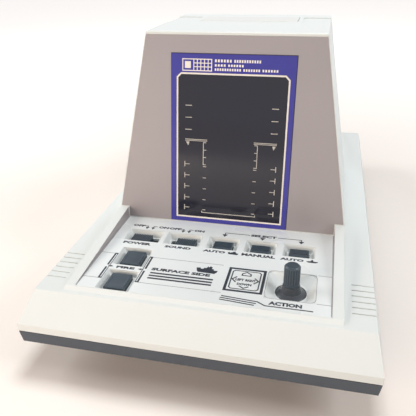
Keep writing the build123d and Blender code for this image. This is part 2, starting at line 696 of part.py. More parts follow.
def slide_knob(x, side):
    """Ribbed slide knob, resting at one end of its slot, on the plate that closes the slot."""
    mid = x + side * SWITCH_TRAVEL / 2
    width = SWITCH_SLOT_W - SWITCH_TRAVEL
    depth = SWITCH_SLOT_D - MOVE_GAP
    top = DECK_Z - SWITCH_KNOB_DROP
    plate_top = FLOOR_UNDER - FIT
    plate_half = (SWITCH_SLOT_W + SWITCH_TRAVEL) / 2 + MOVE_GAP
    plate_low = plate_top - KNOB_PLATE_T
    knob = box(mid - width / 2, mid + width / 2, CONTROL_Y - depth / 2, CONTROL_Y + depth / 2, plate_low, top)
    pitch = width / SWITCH_RIBS
    for i in range(1, SWITCH_RIBS):
        edge = mid - width / 2 + i * pitch
        knob -= box(edge - pitch / 4, edge + pitch / 4, CONTROL_Y - depth, CONTROL_Y + depth,
                    top - KNOB_RIB_DEEP, top + 1)
    reach = depth / 2 + KNOB_PLATE_EDGE
    knob += Pos(mid, CONTROL_Y, (plate_low + plate_top) / 2) * Box(2 * plate_half, 2 * reach, KNOB_PLATE_T)
    return knob + box(mid - FORK_HALF, mid + FORK_HALF, CONTROL_Y - FORK_HALF, CONTROL_Y + FORK_HALF,
                      CAN_TOP - FORK_IN_CAN, plate_low)


def switch_can(x):
    """Metal can of a slide switch, open above for the knob's fork."""
    can = box(x - CAN_HALF[0], x + CAN_HALF[0], CONTROL_Y - CAN_HALF[1], CONTROL_Y + CAN_HALF[1],
              SWITCH_BOARD_TOP, CAN_TOP)
    reach = SWITCH_TRAVEL / 2 + FORK_HALF + MOVE_GAP
    half = CAN_HALF[1] - CAN_WALL
    return can - Pos(x, CONTROL_Y, CAN_TOP) * Box(2 * reach, 2 * half, 2 * CAN_WALL)


def switch_board(full):
    """Board under one deck, screwed to the deck's bosses, cut out round the joystick socket."""
    back = CONTROL_ROW + BOARD_BEHIND_ROW if full else BOARD_SHORT
    side = CHEEK_IN - BOARD_SIDE_GAP
    board = box(-side, side, DECK_Y + BOARD_FRONT_GAP, DECK_Y + back, SWITCH_BOARD_TOP - BOARD_T,
                SWITCH_BOARD_TOP)
    half = SOCKET_IN + SOCKET_WALL + FIT
    board -= box(STICK_X - half, STICK_X + half, STICK_Y - half, STICK_Y + half, BAND_Z, DECK_Z)
    for x, y in BOARD_BOSSES + EAR_BOSSES:
        board -= rod(x, y, BAND_Z, DECK_Z, BOARD_SCREW_R + MOVE_GAP)
    return board


def board_screw(x, y, up_to):
    head_top = SWITCH_BOARD_TOP - BOARD_T
    return rod(x, y, head_top - BOARD_SCREW_HEAD_H, head_top, BOARD_SCREW_HEAD_R) + \
        rod(x, y, head_top, up_to, BOARD_SCREW_R)


def board_screws():
    up_to = SWITCH_BOARD_TOP + PILOT_DEPTH - SCREW_TIP_GAP
    screws = [board_screw(x, y, up_to) for x, y in BOARD_BOSSES + EAR_BOSSES]
    return both_sides(screws)


# ---- joystick, built about its pivot ----------------------------------------------------------
def stick_shaft():
    """Domed shaft: cross pins, spindle, dust dome with its neck and the tail that works the contacts."""
    block = Rot(90, 0, 0) * Cylinder(HUB_R, 2 * HUB_HALF)
    pins = Rot(90, 0, 0) * Cylinder(PIN_R, 2 * (GIMBAL_OUT - PIN_SHORT))
    spindle = rod(0, 0, 0, DOME_R + SPINDLE_UP, SPINDLE_R)
    tail = rod(0, 0, TAIL_GAP - SOCKET_DEEP, 0, TAIL_R)
    above = box(-DOME_R, DOME_R, -DOME_R, DOME_R, DOME_SKIRT, DOME_R)
    dome = Sphere(DOME_R) - Sphere(DOME_R - DOME_T) & above
    neck_foot_r = sqrt(DOME_R ** 2 - (DOME_R - NECK_DROP) ** 2)
    neck_z = DOME_R + (NECK_UP - NECK_DROP) / 2
    neck = Pos(0, 0, neck_z) * Cone(neck_foot_r, KNOB_D / 2 + NECK_LEDGE, NECK_DROP + NECK_UP)
    return PIVOT * (block + pins + spindle + tail + dome + neck)


def stick_knob():
    """Fluted finger knob pressed over the end of the spindle."""
    low, high = DOME_R + NECK_UP + FIT, DECK_Z + KNOB_RISE - PIVOT_Z
    knob = rod(0, 0, low, high, KNOB_D / 2)
    knob = chamfer(knob.edges().group_by(Axis.Z)[-1], KNOB_CHAMFER)
    flute = rod(KNOB_D / 2 + FLUTE_OUT, 0, low + FLUTE_LOW, high + 1, FLUTE_R)
    for i in range(KNOB_FLUTES):
        knob -= Rot(0, 0, i * 360 / KNOB_FLUTES) * flute
    return PIVOT * (knob - rod(0, 0, 0, DOME_R + SPINDLE_UP + FIT, SPINDLE_R + PIN_GAP))


def stick_gimbal():
    """Ring that swings left and right in the socket and carries the shaft's cross pins."""
    ring = Box(2 * GIMBAL_OUT, 2 * GIMBAL_OUT, GIMBAL_H) - Box(2 * GIMBAL_IN, 2 * GIMBAL_IN, GIMBAL_H + 1)
    start = (GIMBAL_OUT + GIMBAL_IN) / 2
    reach = SOCKET_IN + SOCKET_WALL - SOCKET_PIN_SHORT
    for s in (-1, 1):
        ring += Pos(s * (start + reach) / 2, 0, 0) * Rot(0, 90, 0) * Cylinder(PIN_R, reach - start)
    ring -= Rot(90, 0, 0) * Cylinder(PIN_R + PIN_GAP, 4 * GIMBAL_OUT)
    return PIVOT * ring


def stick_socket():
    """Open box under the joystick well, with bores for the gimbal and two screw ears."""
    out = SOCKET_IN + SOCKET_WALL
    top = EAR_TOP - PIVOT_Z
    ear = SWITCH_BOARD_TOP - PIVOT_Z
    body = box(-out, out, -out, out, -SOCKET_DEEP - SOCKET_WALL, top)
    body -= box(-SOCKET_IN, SOCKET_IN, -SOCKET_IN, SOCKET_IN, -SOCKET_DEEP, top + 1)
    body -= Rot(0, 90, 0) * Cylinder(PIN_R + PIN_GAP, 2 * out + 1)
    for s in (-1, 1):
        body += Pos(s * (out + EAR_REACH) / 2, 0, (ear + top) / 2) * Box(EAR_REACH - out, EAR_W, top - ear)
        body -= rod(s * (EAR_REACH - EAR_W / 2), 0, ear - 1, top + 1, BOARD_SCREW_R + MOVE_GAP)
    return PIVOT * body


# ---- lower housing ----------------------------------------------------------------------------
def tub(inset=0.0):
    """Deep middle of the lower housing; its ends lean in towards the table."""
    half_w, half_d = TUB_W / 2, TUB_D / 2
    slope = TUB_DRAFT / (BAND_Z - TUB_Z)
    low = TUB_Z
    high = TRAY_FLOOR + 2 * inset
    rise = (high - low) * slope
    points = [(-half_d + TUB_DRAFT, low), (half_d - TUB_DRAFT, low), (half_d - TUB_DRAFT + rise, high),
              (-half_d + TUB_DRAFT - rise, high)]
    sides = box(inset - half_w, half_w - inset, -BASE_D, BASE_D, 0, DECK_Z)
    return prism_x(points, TUB_W, inset) & sides


def tray(grow, low, high, taper=0.0):
    """A flat block of the base's outline, grown by grow and narrowing downwards by taper."""
    top = Pos(0, 0, high) * Rectangle(BASE_W + 2 * grow, BASE_D + 2 * grow)
    bottom = Pos(0, 0, low) * Rectangle(BASE_W + 2 * (grow - taper), BASE_D + 2 * (grow - taper))
    return loft([bottom, top])


def door_room(gap):
    """The battery door's shape, with its two side tongues, grown by gap."""
    half = CELL_ROOM[1] / 2 + DOOR_SIDE + gap
    left = -CELL_ROOM[0] / 2 - DOOR_END - gap
    plate = box(left, TUB_W / 2, -half, half, TUB_Z, DOOR_TOP + gap)
    tongue = box(left, TUB_W / 2, -half - DOOR_FLANGE, half + DOOR_FLANGE, RAIL_LOW - gap, DOOR_TOP + gap)
    return plate + tongue


def lower_shell():
    """Dark tray and tub: battery box, speaker grille, jack hole, screw towers and feet sockets."""
    shell = tray(-0.2, BAND_Z, SEAM_Z - SEAM_H, BAND_TAPER)
    shell += tray(-SEAM_INSET, SEAM_Z - SEAM_H, SEAM_Z)
    shell += tray(-WALL - FIT, SEAM_Z, SEAM_Z + TONGUE_H)
    shell += tub()
    shell -= tray(-2 * WALL, TRAY_FLOOR, DECK_Z)
    shell -= tub(WALL) & box(-BASE_W, BASE_W, -BASE_D, BASE_D, TUB_FLOOR, DECK_Z)
    half_x, half_y = CELL_ROOM[0] / 2, CELL_ROOM[1] / 2
    rail_y = half_y + BOX_WALL + BOX_RAIL_W
    shell += box(-half_x - BOX_WALL, half_x + BOX_WALL, -rail_y, rail_y, TUB_Z, CELL_ROOF + BOX_WALL)
    shell -= box(-half_x, half_x, -half_y, half_y, 0, CELL_ROOF)
    shell -= door_room(MOVE_GAP)
    for x, y in main_board_spots():
        shell += rod(x, y, CELL_ROOF + BOX_WALL, MAIN_BOARD_Z, MAIN_BOARD_POST_R)
    for s in (-1, 1):
        for y in BOSS_YS:
            shell += rod(s * BOSS_X, y, BAND_Z, SEAM_Z, BOSS_R)
            shell -= rod(s * BOSS_X, y, 0, BAND_Z + SCREW_HEAD_H, SCREW_HEAD_R + MOVE_GAP)
            shell -= rod(s * BOSS_X, y, 0, DECK_Z, SCREW_R + FIT)
    shell += rod(0, SPEAKER_Y, TUB_FLOOR, TUB_FLOOR + SPEAKER_RING, SPEAKER_R + SPEAKER_RING)
    shell -= rod(0, SPEAKER_Y, TUB_FLOOR, DECK_Z, SPEAKER_R + FIT)
    for i in range(GRILLE_SLOTS):
        off = (i - (GRILLE_SLOTS - 1) / 2) * GRILLE_PITCH
        half = (SPEAKER_R ** 2 - off ** 2) ** 0.5 - GRILLE_EDGE
        shell -= Pos(0, SPEAKER_Y + off, TUB_Z) * Box(2 * half, GRILLE_SLOT_W, 2 * WALL)
    shell -= Pos(-TUB_W / 2, JACK_Y, JACK_Z) * Rot(0, 90, 0) * Cylinder(JACK_COLLAR_R + FIT, 4 * WALL)
    for x, y in main_board_spots():
        shell -= rod(x, y, MAIN_BOARD_Z - MAIN_PILOT, DECK_Z, BOARD_SCREW_R + THREAD_GAP)
    return shell


def main_board_spots():
    reach = [room / 2 - inset for room, inset in zip(CELL_ROOM, MAIN_BOARD_POST_IN)]
    return [(s * reach[0], t * reach[1]) for s in (-1, 1) for t in (-1, 1)]


def battery_door():
    """Door under the cells: slides out sideways on its two tongues."""
    door = door_room(0)
    for i in range(DOOR_GRIPS):
        x = TUB_W / 2 - DOOR_GRIP_IN - i * DOOR_GRIP_PITCH
        door -= Pos(x, 0, TUB_Z) * Box(DOOR_GRIP_W, 2 * DOOR_GRIP_HALF_L, 2 * DOOR_GRIP_DEEP)
    return chamfer(door.edges().filter_by(Axis.Y).group_by(Axis.X)[-1].group_by(Axis.Z)[0], DOOR_GRIP_DEEP)


def cells():
    """Four round cells, two end to end in each of two rows."""
    can = Rot(0, 90, 0) * Cylinder(CELL_R, CELL_L - CELL_NUB)
    nub = Pos(CELL_L / 2, 0, 0) * Rot(0, 90, 0) * Cylinder(CELL_R / 4, CELL_NUB)
    cell = Pos(-CELL_NUB / 2, 0, 0) * (can + nub)
    return [Pos(s * CELL_L / 2, y, CELL_Z) * cell for y in CELL_ROWS for s in (-1, 1)]


def battery_contacts():
    """Sprung metal contacts at both ends of the battery box."""
    found = []
    leaf = Box(CONTACT_T, 2 * CONTACT_HALF[0], 2 * CONTACT_HALF[1])
    spring = Cone(*CONTACT_SPRING)
    button = Cylinder(CONTACT_BUTTON_R, CONTACT_SPRING[2])
    end = CELL_ROOM[0] / 2 - CONTACT_T / 2
    tip = end - (CONTACT_T + CONTACT_SPRING[2]) / 2
    for y in CELL_ROWS:
        for s, shape in ((-1, spring), (1, button)):
            found.append(Pos(s * end, y, CELL_Z) * leaf + Pos(s * tip, y, CELL_Z) * Rot(0, 90, 0) * shape)
    return found


def main_board():
    w, d = MAIN_BOARD
    board = box(-w / 2, w / 2, -d / 2, d / 2, MAIN_BOARD_Z, MAIN_BOARD_Z + BOARD_T)
    for x, y in main_board_spots():
        board -= rod(x, y, 0, DECK_Z, BOARD_SCREW_R + MOVE_GAP)
    return board


def main_board_screws():
    return [rod(x, y, BOARD_TOP, BOARD_TOP + BOARD_SCREW_HEAD_H, BOARD_SCREW_HEAD_R)
            + rod(x, y, MAIN_BOARD_Z - MAIN_SCREW_L, BOARD_TOP, BOARD_SCREW_R) for x, y in main_board_spots()]


def chip(x, y, length, width, height):
    """Chip in a row package, with its two rows of legs as flat strips."""
    body = box(x - length / 2, x + length / 2, y - width / 2, y + width / 2, BOARD_TOP + CHIP_STAND,
               BOARD_TOP + height)
    body = chamfer(body.edges().filter_by(Axis.X).group_by(Axis.Z)[-1], CHIP_STAND / 2)
    legs = int(length / CHIP_PITCH) - 1
    edge = width / 2 - 2 * LEG_HALF[1]
    for s in (-1, 1):
        for i in range(legs):
            leg = x + (i - (legs - 1) / 2) * CHIP_PITCH
            body += box(leg - LEG_HALF[0], leg + LEG_HALF[0], y + s * edge - LEG_HALF[1],
                        y + s * edge + LEG_HALF[1], BOARD_TOP, BOARD_TOP + 2 * CHIP_STAND)
    return body


def capacitors():
    return [rod(x, y, BOARD_TOP, BOARD_TOP + h, r) for x, y, r, h in CANS]


def transformer():
    """Small converter coil that makes the displays' supply."""
    wide, deep = COIL_CORE_HALF
    flange = box(COIL_X - wide, COIL_X + wide, -deep, deep, BOARD_TOP, BOARD_TOP + COIL_CORE_T)
    winding = rod(COIL_X, 0, BOARD_TOP + COIL_CORE_T, BOARD_TOP + COIL_CORE_T + COIL_H, COIL_R)
    return flange + winding + Pos(0, 0, COIL_CORE_T + COIL_H) * flange


def ribbon():
    """Flat cable from a display board down to the main board's edge."""
    back = TUBE_BACK + BOARD_T
    foot = TUBE_MID - HOLDER_HALF[1]
    start = FACE.from_local_coords((0, foot + RIBBON_UP, -back))
    low = FACE.from_local_coords((0, foot + RIBBON_BEND, -back))
    t = RIBBON_T
    above = BOARD_TOP + 3 * t
    bend, down, end = [reach - MAIN_BOARD[1] / 2 for reach in RIBBON_ON_BOARD]
    points = [(start.Y, start.Z), (low.Y, low.Z), (bend, above), (down, BOARD_TOP), (end, BOARD_TOP),
              (end, BOARD_TOP + t), (down + t / 2, BOARD_TOP + t), (bend + t, above + t),
              (low.Y + t, low.Z + t), (start.Y + t, start.Z)]
    return extrude(Plane.YZ * outline(points), RIBBON_HALF_W, both=True)


def speaker():
    """Basket and cone of the speaker, seated in the ring over the grille."""
    basket = rod(0, SPEAKER_Y, TUB_FLOOR, TUB_FLOOR + SPEAKER_H, SPEAKER_R)
    cone_foot = TUB_FLOOR + SPEAKER_H / 6
    basket -= rod(0, SPEAKER_Y, TUB_Z, cone_foot, SPEAKER_R - SPEAKER_RIM)
    return basket - Pos(0, SPEAKER_Y, cone_foot + CONE_H / 2) * Cone(*CONE_R, CONE_H)


def speaker_magnet():
    z = TUB_FLOOR + SPEAKER_H
    return rod(0, SPEAKER_Y, z, z + MAGNET_H, MAGNET_R) + rod(0, SPEAKER_Y, z, z + MAGNET_H + POLE_H, POLE_R)


def power_jack():
    """Round two-wire inlet through the tub's left wall."""
    across = 2 * JACK_BODY_HALF
    collar = Pos(JACK_COLLAR_L / 2, 0, 0) * Rot(0, 90, 0) * Cylinder(JACK_COLLAR_R, JACK_COLLAR_L)
    body = Pos(WALL + JACK_BODY_L / 2, 0, 0) * Box(JACK_BODY_L, across, across)
    bore = Pos(JACK_BORE_L / 2, 0, 0) * Rot(0, 90, 0) * Cylinder(JACK_BORE_R, JACK_BORE_L)
    return Pos(-TUB_W / 2, JACK_Y, JACK_Z) * (collar + body - bore)


def rubber_feet():
    return [rod(s * FOOT_XY[0], t * FOOT_XY[1], 0, FOOT_H, FOOT_R) for s in (-1, 1) for t in (-1, 1)]


def housing_screws():
    screws = []
    for s in (-1, 1):
        for y in BOSS_YS:
            low = BAND_Z + SCREW_SINK
            head = rod(s * BOSS_X, y, low, BAND_Z + SCREW_HEAD_H, SCREW_HEAD_R)
            slot = Pos(s * BOSS_X, y, low) * Box(3 * SCREW_HEAD_R, SCREW_SLOT_W, 2 * SCREW_SLOT_DEEP)
            shank = rod(s * BOSS_X, y, BAND_Z + SCREW_HEAD_H, SEAM_Z + PILOT_DEPTH, SCREW_R)
            screws.append(head - slot + shank)
    return screws


def top_plate():
    plate = top_plate_room(0, TOP_Z + TOP_PLATE_PROUD)
    return chamfer(plate.edges().group_by(Axis.Z)[-1], TOP_PLATE_CHAMFER)


def group(parts):
    return Compound(children=[solid for part in parts for solid in part.solids()])


# ---- write every piece ------------------------------------------------------------------------
save(upper_shell(), "upper_shell")
save(lower_shell(), "lower_shell")
save(top_plate(), "top_plate")
for side, place in (("front", lambda p: p), ("rear", turned)):
    first = side == "front"
    save(place(deck_plate(first)), f"{side}_deck_plate")
    save(place(mask()), f"{side}_mask")
    save(place(bezel()), f"{side}_bezel")
    save(place(window()), f"{side}_window")
    save(place(display_tube()), f"{side}_display_tube")
    save(place(display_holder()), f"{side}_display_holder")
    save(place(display_board()), f"{side}_display_board")
    save(place(switch_board(first)), f"{side}_switch_board")
    save(place(stick_shaft()), f"{side}_stick_shaft")
    save(place(stick_knob()), f"{side}_stick_knob")
    save(place(stick_gimbal()), f"{side}_stick_gimbal")
    save(place(stick_socket()), f"{side}_stick_socket")
    under = FIRE_FLOOR_Z - WELL_WALL
    for number, row in enumerate(FIRE_ROWS, 1):
        y = DECK_Y + row
        save(place(push_button(FIRE_X, y, FIRE_CAP, FIRE_DROP, under, False)), f"{side}_fire_button_{number}")
        save(place(rubber_dome(FIRE_X, y, under, FIRE_DOME_D)), f"{side}_fire_dome_{number}")
for number, x in enumerate(select_xs(), 1):
    save(push_button(x, CONTROL_Y, SELECT_CAP, SELECT_DROP, FLOOR_UNDER, True), f"select_button_{number}")
    save(rubber_dome(x, CONTROL_Y, FLOOR_UNDER, SELECT_DOME_D), f"select_dome_{number}")
for name, side in (("power", -1), ("sound", 1)):
    save(slide_knob(SWITCH_XS[name], side), f"{name}_knob")
    save(switch_can(SWITCH_XS[name]), f"{name}_switch")
save(group(board_screws() + main_board_screws() + both_sides(display_screws())), "board_screws")
save(group(both_sides([display_grid()])), "display_grids")
save(group(both_sides([ribbon()])), "ribbons")
save(main_board(), "main_board")
save(group([chip(*spot) for spot in CHIPS]), "chips")
save(group(capacitors()), "capacitors")
save(transformer(), "transformer")
save(speaker(), "speaker")
save(speaker_magnet(), "speaker_magnet")
save(power_jack(), "power_jack")
save(battery_door(), "battery_door")
save(group(cells()), "cells")
save(group(battery_contacts()), "battery_contacts")
save(group(rubber_feet()), "rubber_feet")
save(group(housing_screws()), "housing_screws")
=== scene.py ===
"""A two-player electronic table-top game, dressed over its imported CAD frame."""

from math import atan2, cos, pi, radians, sin

import bmesh
import bpy
from mathutils import Matrix, Vector


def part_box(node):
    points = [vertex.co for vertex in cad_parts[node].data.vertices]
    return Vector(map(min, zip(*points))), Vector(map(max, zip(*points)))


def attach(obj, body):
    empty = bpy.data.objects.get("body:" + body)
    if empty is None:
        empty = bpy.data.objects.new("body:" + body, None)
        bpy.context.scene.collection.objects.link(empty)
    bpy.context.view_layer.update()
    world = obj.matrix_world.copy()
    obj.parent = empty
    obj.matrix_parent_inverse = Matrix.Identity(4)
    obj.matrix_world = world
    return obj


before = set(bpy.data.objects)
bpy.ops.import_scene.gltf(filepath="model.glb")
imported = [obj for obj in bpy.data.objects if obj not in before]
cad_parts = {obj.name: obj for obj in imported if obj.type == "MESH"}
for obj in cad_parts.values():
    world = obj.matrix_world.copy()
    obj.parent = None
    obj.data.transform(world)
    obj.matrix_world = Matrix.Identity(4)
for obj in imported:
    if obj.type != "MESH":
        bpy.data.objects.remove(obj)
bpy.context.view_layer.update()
MM = 0.001


# ---- The view -----------------------------------------------------------------------------------
# The game as its first player sees it: from close by, above the front lip and a little to the
# right, with the whole tower and both wings in view.
eye = bpy.data.objects.new("eye", bpy.data.cameras.new("eye"))
bpy.context.scene.collection.objects.link(eye)
eye.location = (0.05389, -0.35156, 0.19970)
eye.rotation_euler = (radians(63.334), radians(0.944), radians(13.272))
eye.data.sensor_width = 36.0
eye.data.lens = 45.157
eye.data.shift_x = 0.01563
eye.data.shift_y = 0.01289
eye.data.clip_start = 0.01
bpy.context.scene.camera = eye


# ---- Table top and studio light -----------------------------------------------------------------
# A wide sheet of matt white laminate under a soft box overhead, one at each side and a warm low one
# at the front left. The room gives a little warm light and looks white, and the sheet fades to the
# same white away from the game.
TABLE_REACH = 6.0
TABLE_THICK = 0.02
ROOM_LIGHT = 0.13
FADE_FROM = 0.18
FADE_TO = 0.85
FADE_LIFT = 0.75


def solid_between(name, rings, material):
    """A closed mesh through rings of equal length, capped at both ends."""
    mesh = bpy.data.meshes.new(name)
    built = bmesh.new()
    loops = [[built.verts.new(point) for point in ring] for ring in rings]
    for low, high in zip(loops, loops[1:]):
        for i, corner in enumerate(low):
            after = (i + 1) % len(low)
            built.faces.new((corner, low[after], high[after], high[i]))
    built.faces.new(loops[0][::-1])
    built.faces.new(loops[-1])
    bmesh.ops.recalc_face_normals(built, faces=built.faces)
    built.to_mesh(mesh)
    built.free()
    mesh.materials.append(material)
    made = bpy.data.objects.new(name, mesh)
    bpy.context.scene.collection.objects.link(made)
    return made


def seen_or_mirrored(tree):
    """The light path, and a value of one on rays from the camera or off a gloss, else nought."""
    rays = tree.nodes.new("ShaderNodeLightPath")
    either = tree.nodes.new("ShaderNodeMath")
    either.operation = "MAXIMUM"
    tree.links.new(rays.outputs["Is Camera Ray"], either.inputs[0])
    tree.links.new(rays.outputs["Is Glossy Ray"], either.inputs[1])
    return rays, either.outputs["Value"]


laminate = bpy.data.materials.new("white laminate")
laminate.use_nodes = True
tree = laminate.node_tree
sheen = tree.nodes["Principled BSDF"]
sheen.inputs["Specular IOR Level"].default_value = 0.1
unevenness = tree.nodes.new("ShaderNodeTexNoise")
unevenness.inputs["Scale"].default_value = 9.0
ramp = tree.nodes.new("ShaderNodeMapRange")
ramp.inputs["To Min"].default_value = 0.62
ramp.inputs["To Max"].default_value = 0.8
tree.links.new(unevenness.outputs["Fac"], ramp.inputs["Value"])
tree.links.new(ramp.outputs["Result"], sheen.inputs["Roughness"])
rays, looked_at = seen_or_mirrored(tree)
white = tree.nodes.new("ShaderNodeMix")
white.data_type = "RGBA"
white.inputs["A"].default_value = (0.82, 0.82, 0.81, 1.0)
white.inputs["B"].default_value = (1.055, 0.985, 0.935, 1.0)
tree.links.new(rays.outputs["Is Camera Ray"], white.inputs["Factor"])
tree.links.new(white.outputs["Result"], sheen.inputs["Base Color"])
spot = tree.nodes.new("ShaderNodeTexCoord")
away = tree.nodes.new("ShaderNodeVectorMath")
away.operation = "LENGTH"
fade = tree.nodes.new("ShaderNodeMapRange")
fade.inputs["From Min"].default_value = FADE_FROM
fade.inputs["From Max"].default_value = FADE_TO
fade.inputs["To Max"].default_value = FADE_LIFT
lift = tree.nodes.new("ShaderNodeMath")
lift.operation = "MULTIPLY"
glow = tree.nodes.new("ShaderNodeEmission")
both = tree.nodes.new("ShaderNodeAddShader")
tree.links.new(spot.outputs["Object"], away.inputs[0])
tree.links.new(away.outputs["Value"], fade.inputs["Value"])
tree.links.new(fade.outputs["Result"], lift.inputs[0])
tree.links.new(looked_at, lift.inputs[1])
tree.links.new(lift.outputs["Value"], glow.inputs["Strength"])
tree.links.new(sheen.outputs["BSDF"], both.inputs[0])
tree.links.new(glow.outputs["Emission"], both.inputs[1])
tree.links.new(both.outputs["Shader"], tree.nodes["Material Output"].inputs["Surface"])
corners = [(-TABLE_REACH, -TABLE_REACH), (TABLE_REACH, -TABLE_REACH),
           (TABLE_REACH, TABLE_REACH), (-TABLE_REACH, TABLE_REACH)]
faces = [[(x, y, z) for x, y in corners] for z in (-TABLE_THICK, 0.0)]
table_top = solid_between("table_top", faces, laminate)

room = bpy.data.worlds.new("room")
bpy.context.scene.world = room
room.use_nodes = True
tree = room.node_tree
sky = tree.nodes["Background"]
_, looked_at = seen_or_mirrored(tree)
bright = tree.nodes.new("ShaderNodeMapRange")
bright.inputs["To Min"].default_value = ROOM_LIGHT
bright.inputs["To Max"].default_value = 1.0
tint = tree.nodes.new("ShaderNodeMix")
tint.data_type = "RGBA"
tint.inputs["A"].default_value = (1.0, 0.86, 0.76, 1.0)
tint.inputs["B"].default_value = (0.97, 0.985, 1.0, 1.0)
tree.links.new(looked_at, bright.inputs["Value"])
tree.links.new(bright.outputs["Result"], sky.inputs["Strength"])
tree.links.new(looked_at, tint.inputs["Factor"])
tree.links.new(tint.outputs["Result"], sky.inputs["Color"])


def soft_box(name, place, aim, across, watts, tint, mirrored=True):
    """A square lamp that faces a point on the table. Unless mirrored, gloss doesn't show it."""
    lamp = bpy.data.objects.new(name, bpy.data.lights.new(name, "AREA"))
    lamp.data.shape = "SQUARE"
    lamp.data.size = across
    lamp.data.energy = watts
    lamp.data.color = tint
    lamp.location = place
    lamp.rotation_euler = (Vector(aim) - Vector(place)).to_track_quat("-Z", "Y").to_euler()
    lamp.visible_glossy = mirrored
    bpy.context.scene.collection.objects.link(lamp)


soft_box("overhead", (0.0, 0.14, 1.05), (0.0, 0.0, 0.0), 0.36, 4.85, (0.97, 0.995, 1.0))
soft_box("left", (-0.80, 0.02, 0.50), (0.0, 0.0, 0.05), 0.4, 2.7, (0.97, 1.0, 1.0))
soft_box("right", (0.80, -0.16, 0.56), (0.0, 0.0, 0.05), 0.4, 3.4, (0.98, 0.99, 1.0))
soft_box("front left", (-0.60, -0.90, 0.25), (0.0, -0.08, 0.06), 0.5, 7.4, (1.0, 0.83, 0.70),
         mirrored=False)
bpy.context.scene.view_settings.view_transform = "Standard"


# ---- White housing ------------------------------------------------------------------------------
# One injection moulding in off-white styrene: wings, aprons, cheeks and tower. The tool was spark
# eroded to a fine matt skin; thirty years have left it a trace of yellowing and dusty corners. Its
# corners and wells are also darkened as painted shade, and its edges lightened as a painted highlight.
def group_sockets(effect, ins, outs):
    """Open a node group's named inputs and outputs and give back its two end nodes."""
    for name, kind, value in ins:
        socket = effect.interface.new_socket(name, in_out="INPUT", socket_type="NodeSocket" + kind)
        if value is not None:
            socket.default_value = value
    for name, kind in outs:
        effect.interface.new_socket(name, in_out="OUTPUT", socket_type="NodeSocket" + kind)
    return effect.nodes.new("NodeGroupInput").outputs, effect.nodes.new("NodeGroupOutput").inputs


def moulded_skin():
    """Spark-eroded grain and slow mottling, from the place on the piece in metres."""
    effect = bpy.data.node_groups.new("moulded skin", "ShaderNodeTree")
    ins, outs = group_sockets(
        effect,
        [("Place", "Vector", None), ("Pale", "Color", (1, 1, 1, 1)), ("Deep", "Color", (0.5, 0.5, 0.5, 1)),
         ("Mottle", "Float", 30.0), ("Grain", "Float", 2500.0),
         ("Matt", "Float", 0.5), ("Sheen", "Float", 0.4)],
        [("Color", "Color"), ("Roughness", "Float"), ("Grain Height", "Float")])
    slow, fine = (effect.nodes.new("ShaderNodeTexNoise") for _ in range(2))
    slow.inputs["Detail"].default_value = 3.0
    fine.inputs["Detail"].default_value = 2.0
    shade = effect.nodes.new("ShaderNodeMix")
    shade.data_type = "RGBA"
    gloss = effect.nodes.new("ShaderNodeMapRange")
    gloss.inputs["From Min"].default_value = 0.3
    gloss.inputs["From Max"].default_value = 0.7
    join = effect.links.new
    join(ins["Place"], slow.inputs["Vector"])
    join(ins["Mottle"], slow.inputs["Scale"])
    join(ins["Place"], fine.inputs["Vector"])
    join(ins["Grain"], fine.inputs["Scale"])
    join(slow.outputs["Fac"], gloss.inputs["Value"])
    join(ins["Matt"], gloss.inputs["To Min"])
    join(ins["Sheen"], gloss.inputs["To Max"])
    spread = effect.nodes.new("ShaderNodeMapRange")
    spread.inputs["From Min"].default_value = 0.3
    spread.inputs["From Max"].default_value = 0.7
    join(slow.outputs["Fac"], spread.inputs["Value"])
    join(spread.outputs["Result"], shade.inputs["Factor"])
    join(ins["Pale"], shade.inputs["A"])
    join(ins["Deep"], shade.inputs["B"])
    join(shade.outputs["Result"], outs["Color"])
    join(gloss.outputs["Result"], outs["Roughness"])
    join(fine.outputs["Fac"], outs["Grain Height"])
    return effect


def worn_and_highlit_edges():
    """Lightens or darkens a colour along edges: wear where hands and tables touch them, and a painted
    highlight where the edges catch the light.
    """
    effect = bpy.data.node_groups.new("rubbed edges", "ShaderNodeTree")
    ins, outs = group_sockets(
        effect,
        [("Color", "Color", (1, 1, 1, 1)), ("Rubbed", "Color", (1, 1, 1, 1)),
         ("Reach", "Float", 0.0006), ("Amount", "Float", 0.5)],
        [("Color", "Color")])
    rounded = effect.nodes.new("ShaderNodeBevel")
    rounded.samples = 4
    flat = effect.nodes.new("ShaderNodeNewGeometry")
    turn = effect.nodes.new("ShaderNodeVectorMath")
    turn.operation = "DOT_PRODUCT"
    edge = effect.nodes.new("ShaderNodeMapRange")
    edge.inputs["From Min"].default_value = 0.999
    edge.inputs["From Max"].default_value = 0.86
    share = effect.nodes.new("ShaderNodeMath")
    share.operation = "MULTIPLY"
    blend = effect.nodes.new("ShaderNodeMix")
    blend.data_type = "RGBA"
    join = effect.links.new
    join(ins["Reach"], rounded.inputs["Radius"])
    join(rounded.outputs["Normal"], turn.inputs[0])
    join(flat.outputs["Normal"], turn.inputs[1])
    join(turn.outputs["Value"], edge.inputs["Value"])
    join(edge.outputs["Result"], share.inputs[0])
    join(ins["Amount"], share.inputs[1])
    join(share.outputs["Value"], blend.inputs["Factor"])
    join(ins["Color"], blend.inputs["A"])
    join(ins["Rubbed"], blend.inputs["B"])
    join(blend.outputs["Result"], outs["Color"])
    return effect


